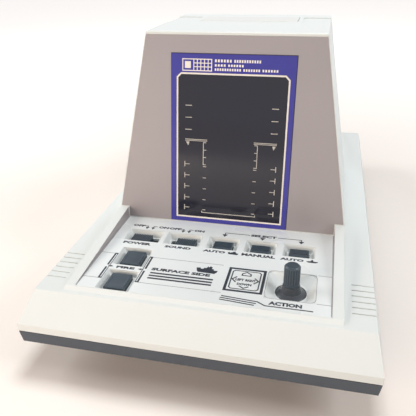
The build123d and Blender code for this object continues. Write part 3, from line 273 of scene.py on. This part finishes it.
def dust_and_painted_shade():
    """Tints a colour in corners and wells that ambient occlusion finds: a dusty tint that is also
    painted shade where shade falls there, broken up by noise so that it looks settled.
    """
    effect = bpy.data.node_groups.new("settled dust", "ShaderNodeTree")
    ins, outs = group_sockets(
        effect,
        [("Place", "Vector", None), ("Color", "Color", (1, 1, 1, 1)),
         ("DustAndShade", "Color", (0.5, 0.45, 0.4, 1)), ("Reach", "Float", 0.004), ("Amount", "Float", 0.4)],
        [("Color", "Color")])
    open_sky = effect.nodes.new("ShaderNodeAmbientOcclusion")
    open_sky.samples = 4
    open_sky.only_local = True
    closed = effect.nodes.new("ShaderNodeMapRange")
    closed.inputs["From Min"].default_value = 0.75
    closed.inputs["From Max"].default_value = 0.25
    patches = effect.nodes.new("ShaderNodeTexNoise")
    patches.inputs["Scale"].default_value = 180.0
    patches.inputs["Detail"].default_value = 4.0
    share, broken = (effect.nodes.new("ShaderNodeMath") for _ in range(2))
    share.operation = broken.operation = "MULTIPLY"
    blend = effect.nodes.new("ShaderNodeMix")
    blend.data_type = "RGBA"
    join = effect.links.new
    join(ins["Reach"], open_sky.inputs["Distance"])
    join(open_sky.outputs["AO"], closed.inputs["Value"])
    join(ins["Place"], patches.inputs["Vector"])
    join(closed.outputs["Result"], broken.inputs[0])
    join(patches.outputs["Fac"], broken.inputs[1])
    join(broken.outputs["Value"], share.inputs[0])
    join(ins["Amount"], share.inputs[1])
    join(share.outputs["Value"], blend.inputs["Factor"])
    join(ins["Color"], blend.inputs["A"])
    join(ins["DustAndShade"], blend.inputs["B"])
    join(blend.outputs["Result"], outs["Color"])
    return effect


SKIN, EDGE_WEAR_AND_HIGHLIGHT, DUST_AND_SHADE = moulded_skin(), worn_and_highlit_edges(), dust_and_painted_shade()


def placed(tree, effect, **values):
    """One use of a shared effect in a material, with its own values."""
    node = tree.nodes.new("ShaderNodeGroup")
    node.node_tree = effect
    for name, value in values.items():
        node.inputs[name].default_value = value
    return node


def moulded(name, pale, deep, matt=0.5, sheen=0.4, mottle=30.0, grain=2500.0, relief=0.00001,
            edge_wear_and_highlight=None, edge_wear_and_highlight_amount=0.4, dust_and_shade=0.0, dust_and_shade_reach=0.004, **plain):
    """A moulded or printed finish on one shader: mottled skin, edges tinted for wear and a painted
    highlight, and corners tinted with a dusty tint and painted shade.
    """
    material = bpy.data.materials.new(name)
    material.use_nodes = True
    tree = material.node_tree
    shader = tree.nodes["Principled BSDF"]
    for socket, value in plain.items():
        shader.inputs[socket.replace("_", " ")].default_value = value
    place = tree.nodes.new("ShaderNodeTexCoord").outputs["Object"]
    skin = placed(tree, SKIN, Pale=(*pale, 1), Deep=(*deep, 1), Mottle=mottle, Grain=grain,
                  Matt=matt, Sheen=sheen)
    tree.links.new(place, skin.inputs["Place"])
    colour = skin.outputs["Color"]
    # Edge colour: wear, and a painted highlight along the edges.
    if edge_wear_and_highlight:
        edge = placed(tree, EDGE_WEAR_AND_HIGHLIGHT, Rubbed=(*edge_wear_and_highlight, 1), Amount=edge_wear_and_highlight_amount)
        tree.links.new(colour, edge.inputs["Color"])
        colour = edge.outputs["Color"]
    # Corners and wells are darkened with a dusty tint and painted shade.
    if dust_and_shade:
        settled = placed(tree, DUST_AND_SHADE, Amount=dust_and_shade, Reach=dust_and_shade_reach)
        tree.links.new(place, settled.inputs["Place"])
        tree.links.new(colour, settled.inputs["Color"])
        colour = settled.outputs["Color"]
    tree.links.new(colour, shader.inputs["Base Color"])
    tree.links.new(skin.outputs["Roughness"], shader.inputs["Roughness"])
    bump = tree.nodes.new("ShaderNodeBump")
    bump.inputs["Distance"].default_value = relief
    tree.links.new(skin.outputs["Grain Height"], bump.inputs["Height"])
    tree.links.new(bump.outputs["Normal"], shader.inputs["Normal"])
    return material


def dress(material, *nodes):
    """Give CAD pieces their finish."""
    for node in nodes:
        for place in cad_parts[node].material_slots:
            place.material = material


SIDES = ("front", "rear")
white_styrene = moulded(
    "white styrene", (0.80, 0.84, 0.835), (0.785, 0.82, 0.81), matt=0.42, sheen=0.34, mottle=14.0,
    grain=1900.0, relief=0.000012, edge_wear_and_highlight=(0.86, 0.875, 0.87), edge_wear_and_highlight_amount=0.15, dust_and_shade=0.38,
    dust_and_shade_reach=0.010)
dress(white_styrene, "upper_shell")


# ---- Top plate ----------------------------------------------------------------------------------
# A loose styrene plate dropped into the recess on top of the tower, the same white as the housing
# but a shade greyer, from its own mould.
plate_styrene = moulded(
    "plate styrene", (0.78, 0.79, 0.775), (0.76, 0.77, 0.75), matt=0.45, sheen=0.36, mottle=20.0,
    grain=1900.0, edge_wear_and_highlight=(0.86, 0.86, 0.85), edge_wear_and_highlight_amount=0.4, dust_and_shade=0.2)
dress(plate_styrene, "top_plate")


# ---- Dark tray, tub and battery door ------------------------------------------------------------
# Charcoal high-impact styrene moulded with a slightly coarser grain, so that scuffs from the table
# don't show. The battery door is from the same batch.
charcoal = moulded(
    "charcoal styrene", (0.084, 0.097, 0.118), (0.072, 0.083, 0.102), matt=0.55, sheen=0.45,
    mottle=40.0, grain=1300.0, relief=0.00003, edge_wear_and_highlight=(0.2, 0.2, 0.21), edge_wear_and_highlight_amount=0.3, dust_and_shade=0.3)
dress(charcoal, "lower_shell", "battery_door")


# ---- Deck plates --------------------------------------------------------------------------------
# Thin aluminium sheets with a satin silver lacquer, blanked and punched to the wells, then stuck
# into the shallow bed of the housing.
silver_sheet = moulded(
    "silver lacquer", (0.86, 0.91, 0.915), (0.835, 0.88, 0.885), matt=0.34, sheen=0.26, mottle=18.0,
    grain=5200.0, relief=0.000004, edge_wear_and_highlight=(0.85, 0.86, 0.86), edge_wear_and_highlight_amount=0.2, Metallic=0.06)
dress(silver_sheet, *[side + "_deck_plate" for side in SIDES])


# ---- Mask and cheek linings ---------------------------------------------------------------------
# The tower's face is a flat styrene panel sprayed metallic taupe. The same paint runs down the
# inner walls of both cheeks, where it is a skin six hundredths of a millimetre thick.
taupe = moulded(
    "taupe paint", (0.42, 0.38, 0.385), (0.395, 0.355, 0.36), matt=0.40, sheen=0.32, mottle=12.0,
    grain=6000.0, relief=0.000006, edge_wear_and_highlight=(0.5, 0.46, 0.43), edge_wear_and_highlight_amount=0.3, Metallic=0.35)
dress(taupe, *[side + "_mask" for side in SIDES])

CHEEK_IN = 66.2 * MM
CHEEK_START = 3.0 * MM
CHEEK_RISE = 6.8 * MM
LINING = 0.06 * MM
DECK_FRONT = -145.0 * MM
_, deck_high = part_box("front_deck_plate")
DECK_Z = deck_high.z
FOOT_Y = deck_high.y


def half_turn(points, side):
    """The points as they are, or turned half round for the second player's side."""
    return [Vector((-x, -y, z)) if side == "rear" else Vector((x, y, z)) for x, y, z in points]


for side in SIDES:
    for hand, s in (("left", -1), ("right", 1)):
        wedge = ((DECK_FRONT + CHEEK_START, DECK_Z + LINING), (FOOT_Y, DECK_Z + LINING),
                 (FOOT_Y, DECK_Z + CHEEK_RISE))
        rings = [half_turn([(s * x, y, z) for y, z in wedge], side)
                 for x in (CHEEK_IN - LINING / 3, CHEEK_IN - 4 * LINING / 3)]
        lining = solid_between(f"{side}_{hand}_cheek_lining", rings, taupe)
        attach(lining, "root")


# ---- Bezels and display windows -----------------------------------------------------------------
# The bezel is printed violet on the back of a clear sheet, so it looks glossy. The window is smoked
# acrylic, nearly black until the tube behind it lights.
violet = moulded(
    "violet print", (0.056, 0.053, 0.37), (0.050, 0.047, 0.34), matt=0.24, sheen=0.18, mottle=25.0,
    grain=3000.0, relief=0.000002, edge_wear_and_highlight=(0.2, 0.17, 0.5), edge_wear_and_highlight_amount=0.4)
dress(violet, *[side + "_bezel" for side in SIDES])
smoked = moulded(
    "smoked acrylic", (0.012, 0.012, 0.026), (0.015, 0.013, 0.023), matt=0.10, sheen=0.05,
    mottle=16.0, grain=800.0, relief=0.0000006)
dress(smoked, *[side + "_window" for side in SIDES])


# ---- Printed marks on the windows ---------------------------------------------------------------
# Cream and pale grey print on the window's face: a border with clipped corners, range ticks and a sight
# bracket. Each mark is a raised film of ink a few hundredths of a millimetre thick.
INK = 0.04 * MM
FACE_RUN = 16.43
TOWER_RISE = 115.2
LEAN = atan2(FACE_RUN, TOWER_RISE)
WINDOW_T = 1.8 * MM
WINDOW_HALF = 33.6
WINDOW_LOW = 3.3
WINDOW_HIGH = 93.5
window_low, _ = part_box("front_window")
UP_FACE = Vector((0, sin(LEAN), cos(LEAN)))
OUT_OF_FACE = Vector((0, -cos(LEAN), sin(LEAN)))
WINDOW_FOOT = Vector((0, window_low.y, window_low.z + WINDOW_T * sin(LEAN)))


def on_window(u, v, up):
    """A point on the window: u across and v up the face from the deck in mm, up out of it in metres."""
    return WINDOW_FOOT + Vector((u * MM, 0, 0)) + UP_FACE * (v - WINDOW_LOW) * MM + OUT_OF_FACE * up


def stroke(points, width, closed=False):
    """Both edges of a line drawn through points, with mitred corners."""
    corners = [Vector(p) for p in points]
    count = len(corners)
    left, right = [], []
    for i, corner in enumerate(corners):
        before = corners[i - 1] if closed or i else None
        after = corners[(i + 1) % count] if closed or i < count - 1 else None
        legs = ((before, corner), (corner, after))
        along = [(b - a).normalized() for a, b in legs if a is not None and b is not None]
        mean = (along[0] + along[-1]).normalized()
        side = Vector((-mean.y, mean.x))
        reach = width / 2 / max(0.4, side.dot(Vector((-along[0].y, along[0].x))))
        left.append(corner + side * reach)
        right.append(corner - side * reach)
    return left, right


class Print:
    """One colour of screen print on one surface, gathered into a single mesh."""

    def __init__(self, place):
        self.place = place
        self.built = bmesh.new()

    def sheet(self, outlines):
        """Raised film between flat outlines: quads as (a, b, c, d), or one outline of any length."""
        for outline in outlines:
            low, high = ([self.built.verts.new(self.place(u, v, h)) for u, v in outline]
                         for h in (0.0, INK))
            self.built.faces.new(low[::-1])
            self.built.faces.new(high)
            for i in range(len(outline)):
                j = (i + 1) % len(outline)
                self.built.faces.new((low[i], low[j], high[j], high[i]))

    def line(self, width, *points, closed=False):
        """A line of even width through the points."""
        left, right = stroke(points, width, closed)
        count = len(left)
        spans = range(count if closed else count - 1)
        rows = [[self.built.verts.new(self.place(p.x, p.y, h)) for p in edge]
                for edge in (left, right) for h in (0.0, INK)]
        left_low, left_high, right_low, right_high = rows
        for i in spans:
            j = (i + 1) % count
            for a, b in ((left_low, left_high), (left_high, right_high), (right_high, right_low),
                         (right_low, left_low)):
                self.built.faces.new((a[i], a[j], b[j], b[i]))
        if not closed:
            for i in (0, count - 1):
                self.built.faces.new((left_low[i], left_high[i], right_high[i], right_low[i]))

    def word(self, text, left, right, low, high, weight=0.055):
        """A control's legend in plain capitals, stretched to fill a box."""
        face = bpy.data.curves.new("legend", "FONT")
        face.body = text
        face.size = 1.0
        face.offset = weight
        face.resolution_u = 2
        holder = bpy.data.objects.new("legend", face)
        flat = bpy.data.meshes.new_from_object(holder)
        spots = [v.co for v in flat.vertices]
        x0, x1 = min(p.x for p in spots), max(p.x for p in spots)
        y0, y1 = min(p.y for p in spots), max(p.y for p in spots)
        letters = bmesh.new()
        letters.from_mesh(flat)
        bmesh.ops.remove_doubles(letters, verts=letters.verts, dist=0.0001)
        raised = bmesh.ops.extrude_face_region(letters, geom=list(letters.faces))
        top = {v for v in raised["geom"] if isinstance(v, bmesh.types.BMVert)}
        for vert in letters.verts:
            u = left + (vert.co.x - x0) / (x1 - x0) * (right - left)
            v = low + (vert.co.y - y0) / (y1 - y0) * (high - low)
            vert.co = self.place(u, v, INK if vert in top else 0.0)
        letters.to_mesh(flat)
        letters.free()
        self.built.from_mesh(flat)
        bpy.data.objects.remove(holder)
        bpy.data.curves.remove(face)
        bpy.data.meshes.remove(flat)

    def finish(self, name, material):
        """Make the gathered marks into one piece that rides on the housing."""
        bmesh.ops.recalc_face_normals(self.built, faces=self.built.faces)
        mesh = bpy.data.meshes.new(name)
        self.built.to_mesh(mesh)
        self.built.free()
        mesh.materials.append(material)
        made = bpy.data.objects.new(name, mesh)
        bpy.context.scene.collection.objects.link(made)
        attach(made, "root")


def facing(side, place):
    """The same placing for either player: turned half round about the upright axis on the rear."""
    if side == "front":
        return place
    return lambda u, v, up: Matrix.Rotation(pi, 3, "Z") @ place(u, v, up)


cream_ink = moulded(
    "cream ink", (0.93, 0.90, 0.85), (0.90, 0.86, 0.80), matt=0.55, sheen=0.45, mottle=90.0,
    grain=4000.0, relief=0.000004)
tick_ink = moulded(
    "pale grey ink", (0.62, 0.60, 0.56), (0.54, 0.52, 0.49), matt=0.6, sheen=0.5, mottle=90.0,
    grain=4000.0, relief=0.000004)
BORDER = 0.95
CORNER_CUT = 2.3
BORDER_X = WINDOW_HALF - BORDER / 2
BORDER_LOW = WINDOW_LOW + BORDER / 2
BORDER_HIGH = WINDOW_HIGH - BORDER / 2
BORDER_PATH = ((-BORDER_X, BORDER_LOW), (BORDER_X, BORDER_LOW), (BORDER_X, BORDER_HIGH - CORNER_CUT),
               (BORDER_X - CORNER_CUT, BORDER_HIGH), (CORNER_CUT - BORDER_X, BORDER_HIGH),
               (-BORDER_X, BORDER_HIGH - CORNER_CUT))
for side in SIDES:
    border = Print(facing(side, on_window))
    border.line(BORDER, *BORDER_PATH, closed=True)
    border.finish(side + "_window_border", cream_ink)
    ticks = Print(facing(side, on_window))
    for s in (-1, 1):
        for v in (74.4, 67.2, 59.9):
            ticks.line(0.45, (s * 24.1, v), (s * 28.1, v))
        ticks.line(0.4, (s * 14.3, 53.9), (s * 28.1, 53.9))
        ticks.line(0.35, (s * 14.3, 53.1), (s * 28.1, 53.1))
        ticks.line(0.4, (s * 14.8, 52.2), (s * 16.6, 52.2), (s * 16.6, 38.4), (s * 14.8, 38.4))
        for v in (47.6, 43.0):
            ticks.line(0.4, (s * 16.4, v), (s * 14.8, v))
        ticks.sheet([((s * 26.2, 50.0), (s * 25.4, 52.4), (s * 27.6, 52.4))])
        for v in (38.3, 31.2, 24.0, 16.7, 10.0):
            ticks.line(0.5, (s * 28.3, v - 1.7), (s * 28.3, v + 1.7))
            ticks.line(0.4, (s * 28.1, v), (s * 25.2, v))
        for v in (37.2, 30.0, 22.9, 15.7, 9.0):
            ticks.line(0.4, (s * 14.6, v), (s * 16.6, v))
    ticks.line(0.45, (-17.0, 8.2), (-17.0, 7.2), (17.0, 7.2), (17.0, 8.2))
    ticks.finish(side + "_window_ticks", tick_ink)


# ---- Printed bars on the bezels -----------------------------------------------------------------
# White print above the window: a panel of small cells and three rows of plain blocks, where such a
# game carries its heading, and a painted shadow: a dark line along the bezel's top and right edges,
# for the shadow in the gap round the sunk bezel. Each row is its foot, its height, and its runs of
# blocks with their pitch.
ROWS = ((99.7, 1.6, ((6, 1.75), (11, 1.45))),
        (97.3, 1.3, ((4, 1.75), (6, 1.6))),
        (94.9, 1.4, ((11, 1.45), (7, 1.45), (6, 1.6))))
ROW_START = -10.6
RUN_GAP = 0.9
BLOCK_SHARE = 0.62
BEZEL_HALF = 36.8
BEZEL_LOW = 0.9
BEZEL_HIGH = 104.4
painted_shadow_ink = moulded(
    "painted shadow ink", (0.035, 0.028, 0.07), (0.045, 0.036, 0.08), matt=0.5, sheen=0.4, mottle=90.0,
    grain=4000.0, relief=0.000004)
for side in SIDES:
    heading = Print(facing(side, on_window))
    heading.line(0.55, (-29.9, 94.7), (-12.5, 94.7), (-12.5, 101.2), (-29.9, 101.2), closed=True)
    for v in (96.9, 99.0):
        heading.line(0.5, (-23.2, v), (-12.8, v))
    for u in (-23.2, -21.1, -19.0, -16.8, -14.6):
        heading.line(0.5, (u, 95.0), (u, 100.9))
    heading.sheet([((-28.6, 96.0), (-25.0, 96.0), (-25.0, 99.9), (-28.6, 99.9))])
    for v, tall, runs in ROWS:
        u = ROW_START
        for count, step in runs:
            wide = BLOCK_SHARE * step
            for _ in range(count):
                heading.sheet([((u, v), (u + wide, v), (u + wide, v + tall), (u, v + tall))])
                u += step
            u += RUN_GAP
    heading.finish(side + "_bezel_bars", cream_ink)
    # A painted shadow: a dark line in the gap along the bezel's top and right edges.
    shadow_line = Print(facing(side, on_window))
    shadow_line.line(0.45, (-BEZEL_HALF, BEZEL_HIGH), (BEZEL_HALF, BEZEL_HIGH), (BEZEL_HALF, BEZEL_LOW))
    shadow_line.finish(side + "_bezel_painted_shadow", painted_shadow_ink)


# ---- Printed marks on the decks -----------------------------------------------------------------
# Thin grey rules on the silver sheets, with painted shade as thin grey lines along the deck's side
# edges and round the joystick's well, and navy print: brackets, arrows and plain legends for each
# control, with small outlines of a ship and a submarine.
navy_ink = moulded(
    "navy ink", (0.022, 0.026, 0.040), (0.030, 0.034, 0.048), matt=0.5, sheen=0.4, mottle=120.0,
    grain=4000.0, relief=0.000004)
rule_and_shade_ink = moulded(
    "thin rule and painted shade ink", (0.30, 0.29, 0.30), (0.36, 0.35, 0.36), matt=0.5, sheen=0.4, mottle=120.0,
    grain=4000.0, relief=0.000004)


def on_deck(u, v, up):
    """A point on the deck: u across and v back from the deck's front edge in mm, up in metres."""
    return Vector((u * MM, DECK_FRONT + v * MM, DECK_Z + up))


WELL_MID, WELL_HALF, WELL_CORNER = (45.05, 22.9), 12.95, 3.1
WELL_EDGE = [(WELL_MID[0] + sx * (WELL_HALF - WELL_CORNER) + WELL_CORNER * cos(radians(turn)),
              WELL_MID[1] + sy * (WELL_HALF - WELL_CORNER) + WELL_CORNER * sin(radians(turn)))
             for sx, sy, first in ((1, 1, 0), (-1, 1, 90), (-1, -1, 180), (1, -1, 270))
             for turn in range(first, first + 91, 30)]

SHIP = ((0.0, 4.6), (0.9, 1.2), (1.6, 0.4), (10.9, 0.0), (11.9, 1.4), (12.3, 3.4), (10.2, 3.2), (9.7, 4.6),
        (8.6, 4.7), (8.9, 6.2), (7.6, 7.4), (7.0, 6.0), (6.3, 7.0), (5.6, 5.2), (4.2, 5.0), (4.0, 4.0),
        (2.6, 3.9), (2.2, 5.0))
SUBMARINE = ((0.0, 2.0), (1.0, 0.9), (2.6, 0.3), (9.6, 0.3), (11.4, 1.2), (12.3, 2.3), (12.2, 3.6),
             (11.2, 2.9), (7.6, 3.3), (7.2, 5.6), (6.6, 5.7), (6.5, 6.8), (6.1, 6.8), (6.0, 5.7),
             (5.0, 5.5), (4.7, 3.4), (1.6, 3.1))
RULE_HIGH = 35.6
RULE_LOW = 9.9
DIAL_MID = 20.85
LEGEND_FOOT = 48.0
ARROW_TIP = 67.6


def silhouette(points, left, low, across, tall):
    """A silhouette's points, fitted to a place and size on the deck."""
    wide = max(p[0] for p in points)
    high = max(p[1] for p in points)
    return [(left + p[0] / wide * across, low + p[1] / high * tall) for p in points]


def rule_and_shade_lines(rules):
    """Thin printed lines across the deck, and painted shade: thin grey lines up both its edges and
    round the rim of the joystick's well.
    """
    for v, spans in ((RULE_HIGH, ((-65.6, -57.6), (-34.3, 6.9), (58.4, 65.6))),
                     (RULE_LOW, ((-66.0, -57.2), (-34.8, 10.2), (58.4, 65.6)))):
        for a, b in spans:
            rules.line(0.35, (a, v), (b, v))
    # Painted shade: thin grey lines along the deck's side edges and round the well's rim.
    for s in (-1, 1):
        rules.line(0.45, (s * 65.75, 0.8), (s * 65.75, 82.0))
    rules.line(0.3, *WELL_EDGE, closed=True)


def fire_marks(marks):
    """Brackets at both sides of the fire buttons, and their legend between two arrows."""
    for s, x in ((-1, -57.0), (1, -34.8)):
        marks.line(1.05, (x - s * 1.6, RULE_HIGH), (x, RULE_HIGH), (x, 23.2))
        marks.line(1.05, (x, 21.2), (x, 10.3), (x - s * 1.6, 10.3))
        marks.line(0.45, (x - s * 1.3, 35.0), (x - s * 1.3, 10.8))
    marks.word("FIRE", -51.4, -40.8, 21.0, 23.2)
    for s, tip in ((1, -53.2), (-1, -38.9)):
        marks.line(0.55, (tip - s * 3.2, 22.2), (tip - s * 1.6, 22.2))
        marks.sheet([((tip - s * 2.0, 21.3), (tip, 22.2), (tip - s * 2.0, 23.1))])


def side_marks(marks, name, shape):
    """The side's vessel and name over three bars."""
    marks.sheet([silhouette(shape, -7.4, 25.9, 12.2, 7.2)])
    marks.word(name, -31.4, 1.6, 22.6, 25.3)
    for v in (20.2, 17.6, 15.1):
        marks.line(1.3, (-31.0, v), (4.0, v))


def dial_marks(marks):
    """A framed diagram of the joystick's moves."""
    marks.line(1.5, (11.3, 12.9), (30.4, 12.9), (30.4, 33.8), (11.3, 33.8), closed=True)
    marks.line(0.65, (14.3, 14.8), (27.4, 14.8), (28.5, 15.9), (28.5, 30.8), (27.4, 31.9), (14.3, 31.9),
               (13.2, 30.8), (13.2, 15.9), closed=True)
    marks.line(0.7, (DIAL_MID, 31.0), (23.2, 29.3), (23.2, 27.7), (18.5, 27.7), (18.5, 29.3), closed=True)
    marks.line(0.75, (18.3, 17.7), (DIAL_MID, 15.9), (23.4, 17.7))
    marks.word("DOWN", 17.0, 24.7, 18.4, 20.4)
    for s, text, a, b in ((-1, "LEFT", 15.6, 20.2), (1, "RIGHT", 20.9, 26.4)):
        tip = DIAL_MID + s * 7.0
        marks.line(0.75, (tip - s * 2.2, 26.0), (tip, 23.4), (tip - s * 2.2, 20.8))
        marks.word(text, a, b, 22.4, 24.5)


def action_marks(marks):
    """The line from the diagram to the joystick's legend, with two bars under its start."""
    marks.line(0.75, (11.0, 7.4), (29.7, 5.8), (33.6, 3.4), (57.1, 3.4))
    for drop, right in ((1.6, 29.2), (3.2, 28.4)):
        marks.line(0.75, (10.6, 7.4 - drop), (right, 5.8 - drop))
    marks.word("ACTION", 35.2, 51.6, 4.7, 7.7)


def switch_marks(marks):
    """Legends, arrows and brackets of the two switches and the three select buttons."""
    for left, right in ((-58.9, -35.5), (-35.0, -12.3)):
        middle = (left + right) / 2
        marks.word("OFF", left, left + 7.7, 70.1, 72.6)
        marks.word("ON", right - 6.5, right, 70.1, 72.6)
        for s in (-1, 1):
            x = middle + s * 1.9
            marks.line(0.55, (x + s * 2.3, 71.6), (x, 71.6), (x, 70.0))
            marks.sheet([((x, ARROW_TIP), (x - 1.3, 70.2), (x + 1.3, 70.2))])
    marks.word("POWER", -57.6, -40.2, LEGEND_FOOT, 50.7)
    marks.word("SOUND", -31.5, -15.6, LEGEND_FOOT, 50.5)
    marks.line(0.55, (1.0, 69.9), (1.0, 72.4), (16.1, 72.4))
    marks.line(0.55, (33.2, 72.4), (47.3, 72.4), (47.3, 69.9))
    for x in (1.0, 24.2, 47.3):
        marks.sheet([((x, ARROW_TIP), (x - 1.7, 70.5), (x + 1.7, 70.5))])
    marks.word("SELECT", 16.7, 32.5, 71.1, 73.7)
    for left, picture in ((-8.2, SHIP), (36.7, SUBMARINE)):
        marks.word("AUTO", left, left + 13.2, LEGEND_FOOT, 50.5)
        marks.sheet([silhouette(picture, left + 14.6, 47.8, 6.4, 3.6)])
    marks.word("MANUAL", 14.6, 33.8, LEGEND_FOOT, 50.8)


for side, name, shape in (("front", "SURFACE SIDE", SHIP), ("rear", "SUBSEA SIDE", SUBMARINE)):
    # Printed rules, with painted shade lines at the deck's edges and the well's rim.
    rules = Print(facing(side, on_deck))
    rule_and_shade_lines(rules)
    rules.finish(side + "_deck_rules_and_shade", rule_and_shade_ink)
    marks = Print(facing(side, on_deck))
    fire_marks(marks)
    side_marks(marks, name, shape)
    dial_marks(marks)
    action_marks(marks)
    if side == "front":
        switch_marks(marks)
    marks.finish(side + "_deck_marks", navy_ink)


# ---- Buttons, slide knobs and joysticks ---------------------------------------------------------
# Slate-grey styrene with a soft sheen, polished along the edges by fingers; the edges and the ridges
# of the joystick's flutes are painted much lighter as a painted highlight. The joystick's dust dome
# is the glossiest of them, polished smooth in the mould, with the same painted highlight on its edges.
slate = moulded(
    "slate styrene", (0.036, 0.055, 0.074), (0.030, 0.047, 0.065), matt=0.42, sheen=0.32,
    mottle=160.0, grain=3200.0, relief=0.000008, edge_wear_and_highlight=(0.15, 0.19, 0.23), edge_wear_and_highlight_amount=0.6, dust_and_shade=0.12)
dress(slate, "power_knob", "sound_knob", *[f"select_button_{i}" for i in (1, 2, 3)],
      *[f"{side}_fire_button_{i}" for side in SIDES for i in (1, 2)],
      *[side + "_stick_knob" for side in SIDES])
dome_slate = moulded(
    "polished slate styrene", (0.060, 0.068, 0.082), (0.050, 0.058, 0.070), matt=0.22, sheen=0.16,
    mottle=120.0, grain=3200.0, relief=0.000003, edge_wear_and_highlight=(0.2, 0.2, 0.22), edge_wear_and_highlight_amount=0.5)
dress(dome_slate, *[side + "_stick_shaft" for side in SIDES])


# ---- Works inside the housing -------------------------------------------------------------------
# Tubes, boards, sockets and the battery box's metal, mostly hidden: each in the stuff that it is
# made of.
glass = moulded(
    "tube glass", (0.05, 0.06, 0.06), (0.045, 0.05, 0.055), matt=0.08, sheen=0.05, mottle=12.0,
    grain=500.0, relief=0.0000005, Transmission_Weight=0.5, IOR=1.5)
dress(glass, *[side + "_display_tube" for side in SIDES])
nickel = moulded(
    "nickel", (0.46, 0.44, 0.40), (0.40, 0.38, 0.35), matt=0.4, sheen=0.28, mottle=60.0,
    grain=2600.0, Metallic=1.0)
dress(nickel, "display_grids", "power_switch", "sound_switch")
black_styrene = moulded(
    "black styrene", (0.02, 0.02, 0.022), (0.028, 0.028, 0.03), matt=0.5, sheen=0.4,
    edge_wear_and_highlight=(0.08, 0.08, 0.085), edge_wear_and_highlight_amount=0.4)
dress(black_styrene, *[side + "_" + part for side in SIDES
                       for part in ("display_holder", "stick_gimbal", "stick_socket")])
board = moulded(
    "phenolic board", (0.19, 0.105, 0.045), (0.155, 0.085, 0.035), matt=0.5, sheen=0.34,
    mottle=90.0, grain=1800.0, edge_wear_and_highlight=(0.35, 0.24, 0.12), edge_wear_and_highlight_amount=0.5)
dress(board, "main_board", *[side + "_" + part for side in SIDES
                             for part in ("display_board", "switch_board")])
chip_resin = moulded(
    "chip resin", (0.018, 0.018, 0.019), (0.026, 0.026, 0.027), matt=0.7, sheen=0.55, grain=4200.0)
dress(chip_resin, "chips", "power_jack")
sleeve = moulded(
    "blue sleeve", (0.03, 0.07, 0.2), (0.025, 0.055, 0.16), matt=0.35, sheen=0.25, mottle=80.0)
dress(sleeve, "capacitors")
steel = moulded(
    "zinc-plated steel", (0.52, 0.52, 0.50), (0.42, 0.42, 0.41), matt=0.42, sheen=0.26,
    mottle=300.0, grain=3000.0, edge_wear_and_highlight=(0.7, 0.7, 0.68), edge_wear_and_highlight_amount=0.5, Metallic=1.0)
dress(steel, "board_screws", "housing_screws", "speaker_magnet")
paper = moulded(
    "speaker paper", (0.035, 0.033, 0.03), (0.025, 0.024, 0.022), matt=0.85, sheen=0.7,
    grain=1500.0, relief=0.00006)
dress(paper, "speaker")
copper = moulded(
    "enamelled copper", (0.55, 0.22, 0.09), (0.45, 0.17, 0.07), matt=0.4, sheen=0.25, mottle=400.0,
    Metallic=1.0)
dress(copper, "transformer")
brass = moulded(
    "plated brass", (0.60, 0.50, 0.30), (0.50, 0.42, 0.26), matt=0.4, sheen=0.25, mottle=200.0,
    Metallic=1.0)
dress(brass, "battery_contacts")
jacket = moulded(
    "cell jacket", (0.10, 0.11, 0.12), (0.08, 0.09, 0.10), matt=0.3, sheen=0.2, mottle=60.0)
dress(jacket, "cells")
flat_cable = moulded(
    "ribbon cable", (0.36, 0.36, 0.36), (0.30, 0.30, 0.31), matt=0.55, sheen=0.45, mottle=900.0)
dress(flat_cable, "ribbons")
silicone = moulded(
    "silicone rubber", (0.42, 0.41, 0.39), (0.36, 0.35, 0.33), matt=0.7, sheen=0.6, dust_and_shade=0.3)
dress(silicone, *[f"{side}_fire_dome_{i}" for side in SIDES for i in (1, 2)],
      *[f"select_dome_{i}" for i in (1, 2, 3)])
foot_rubber = moulded(
    "foot rubber", (0.03, 0.03, 0.03), (0.045, 0.044, 0.042), matt=0.9, sheen=0.75, grain=900.0,
    relief=0.00005, edge_wear_and_highlight=(0.12, 0.12, 0.115), edge_wear_and_highlight_amount=0.4, dust_and_shade=0.4)
dress(foot_rubber, "rubber_feet")
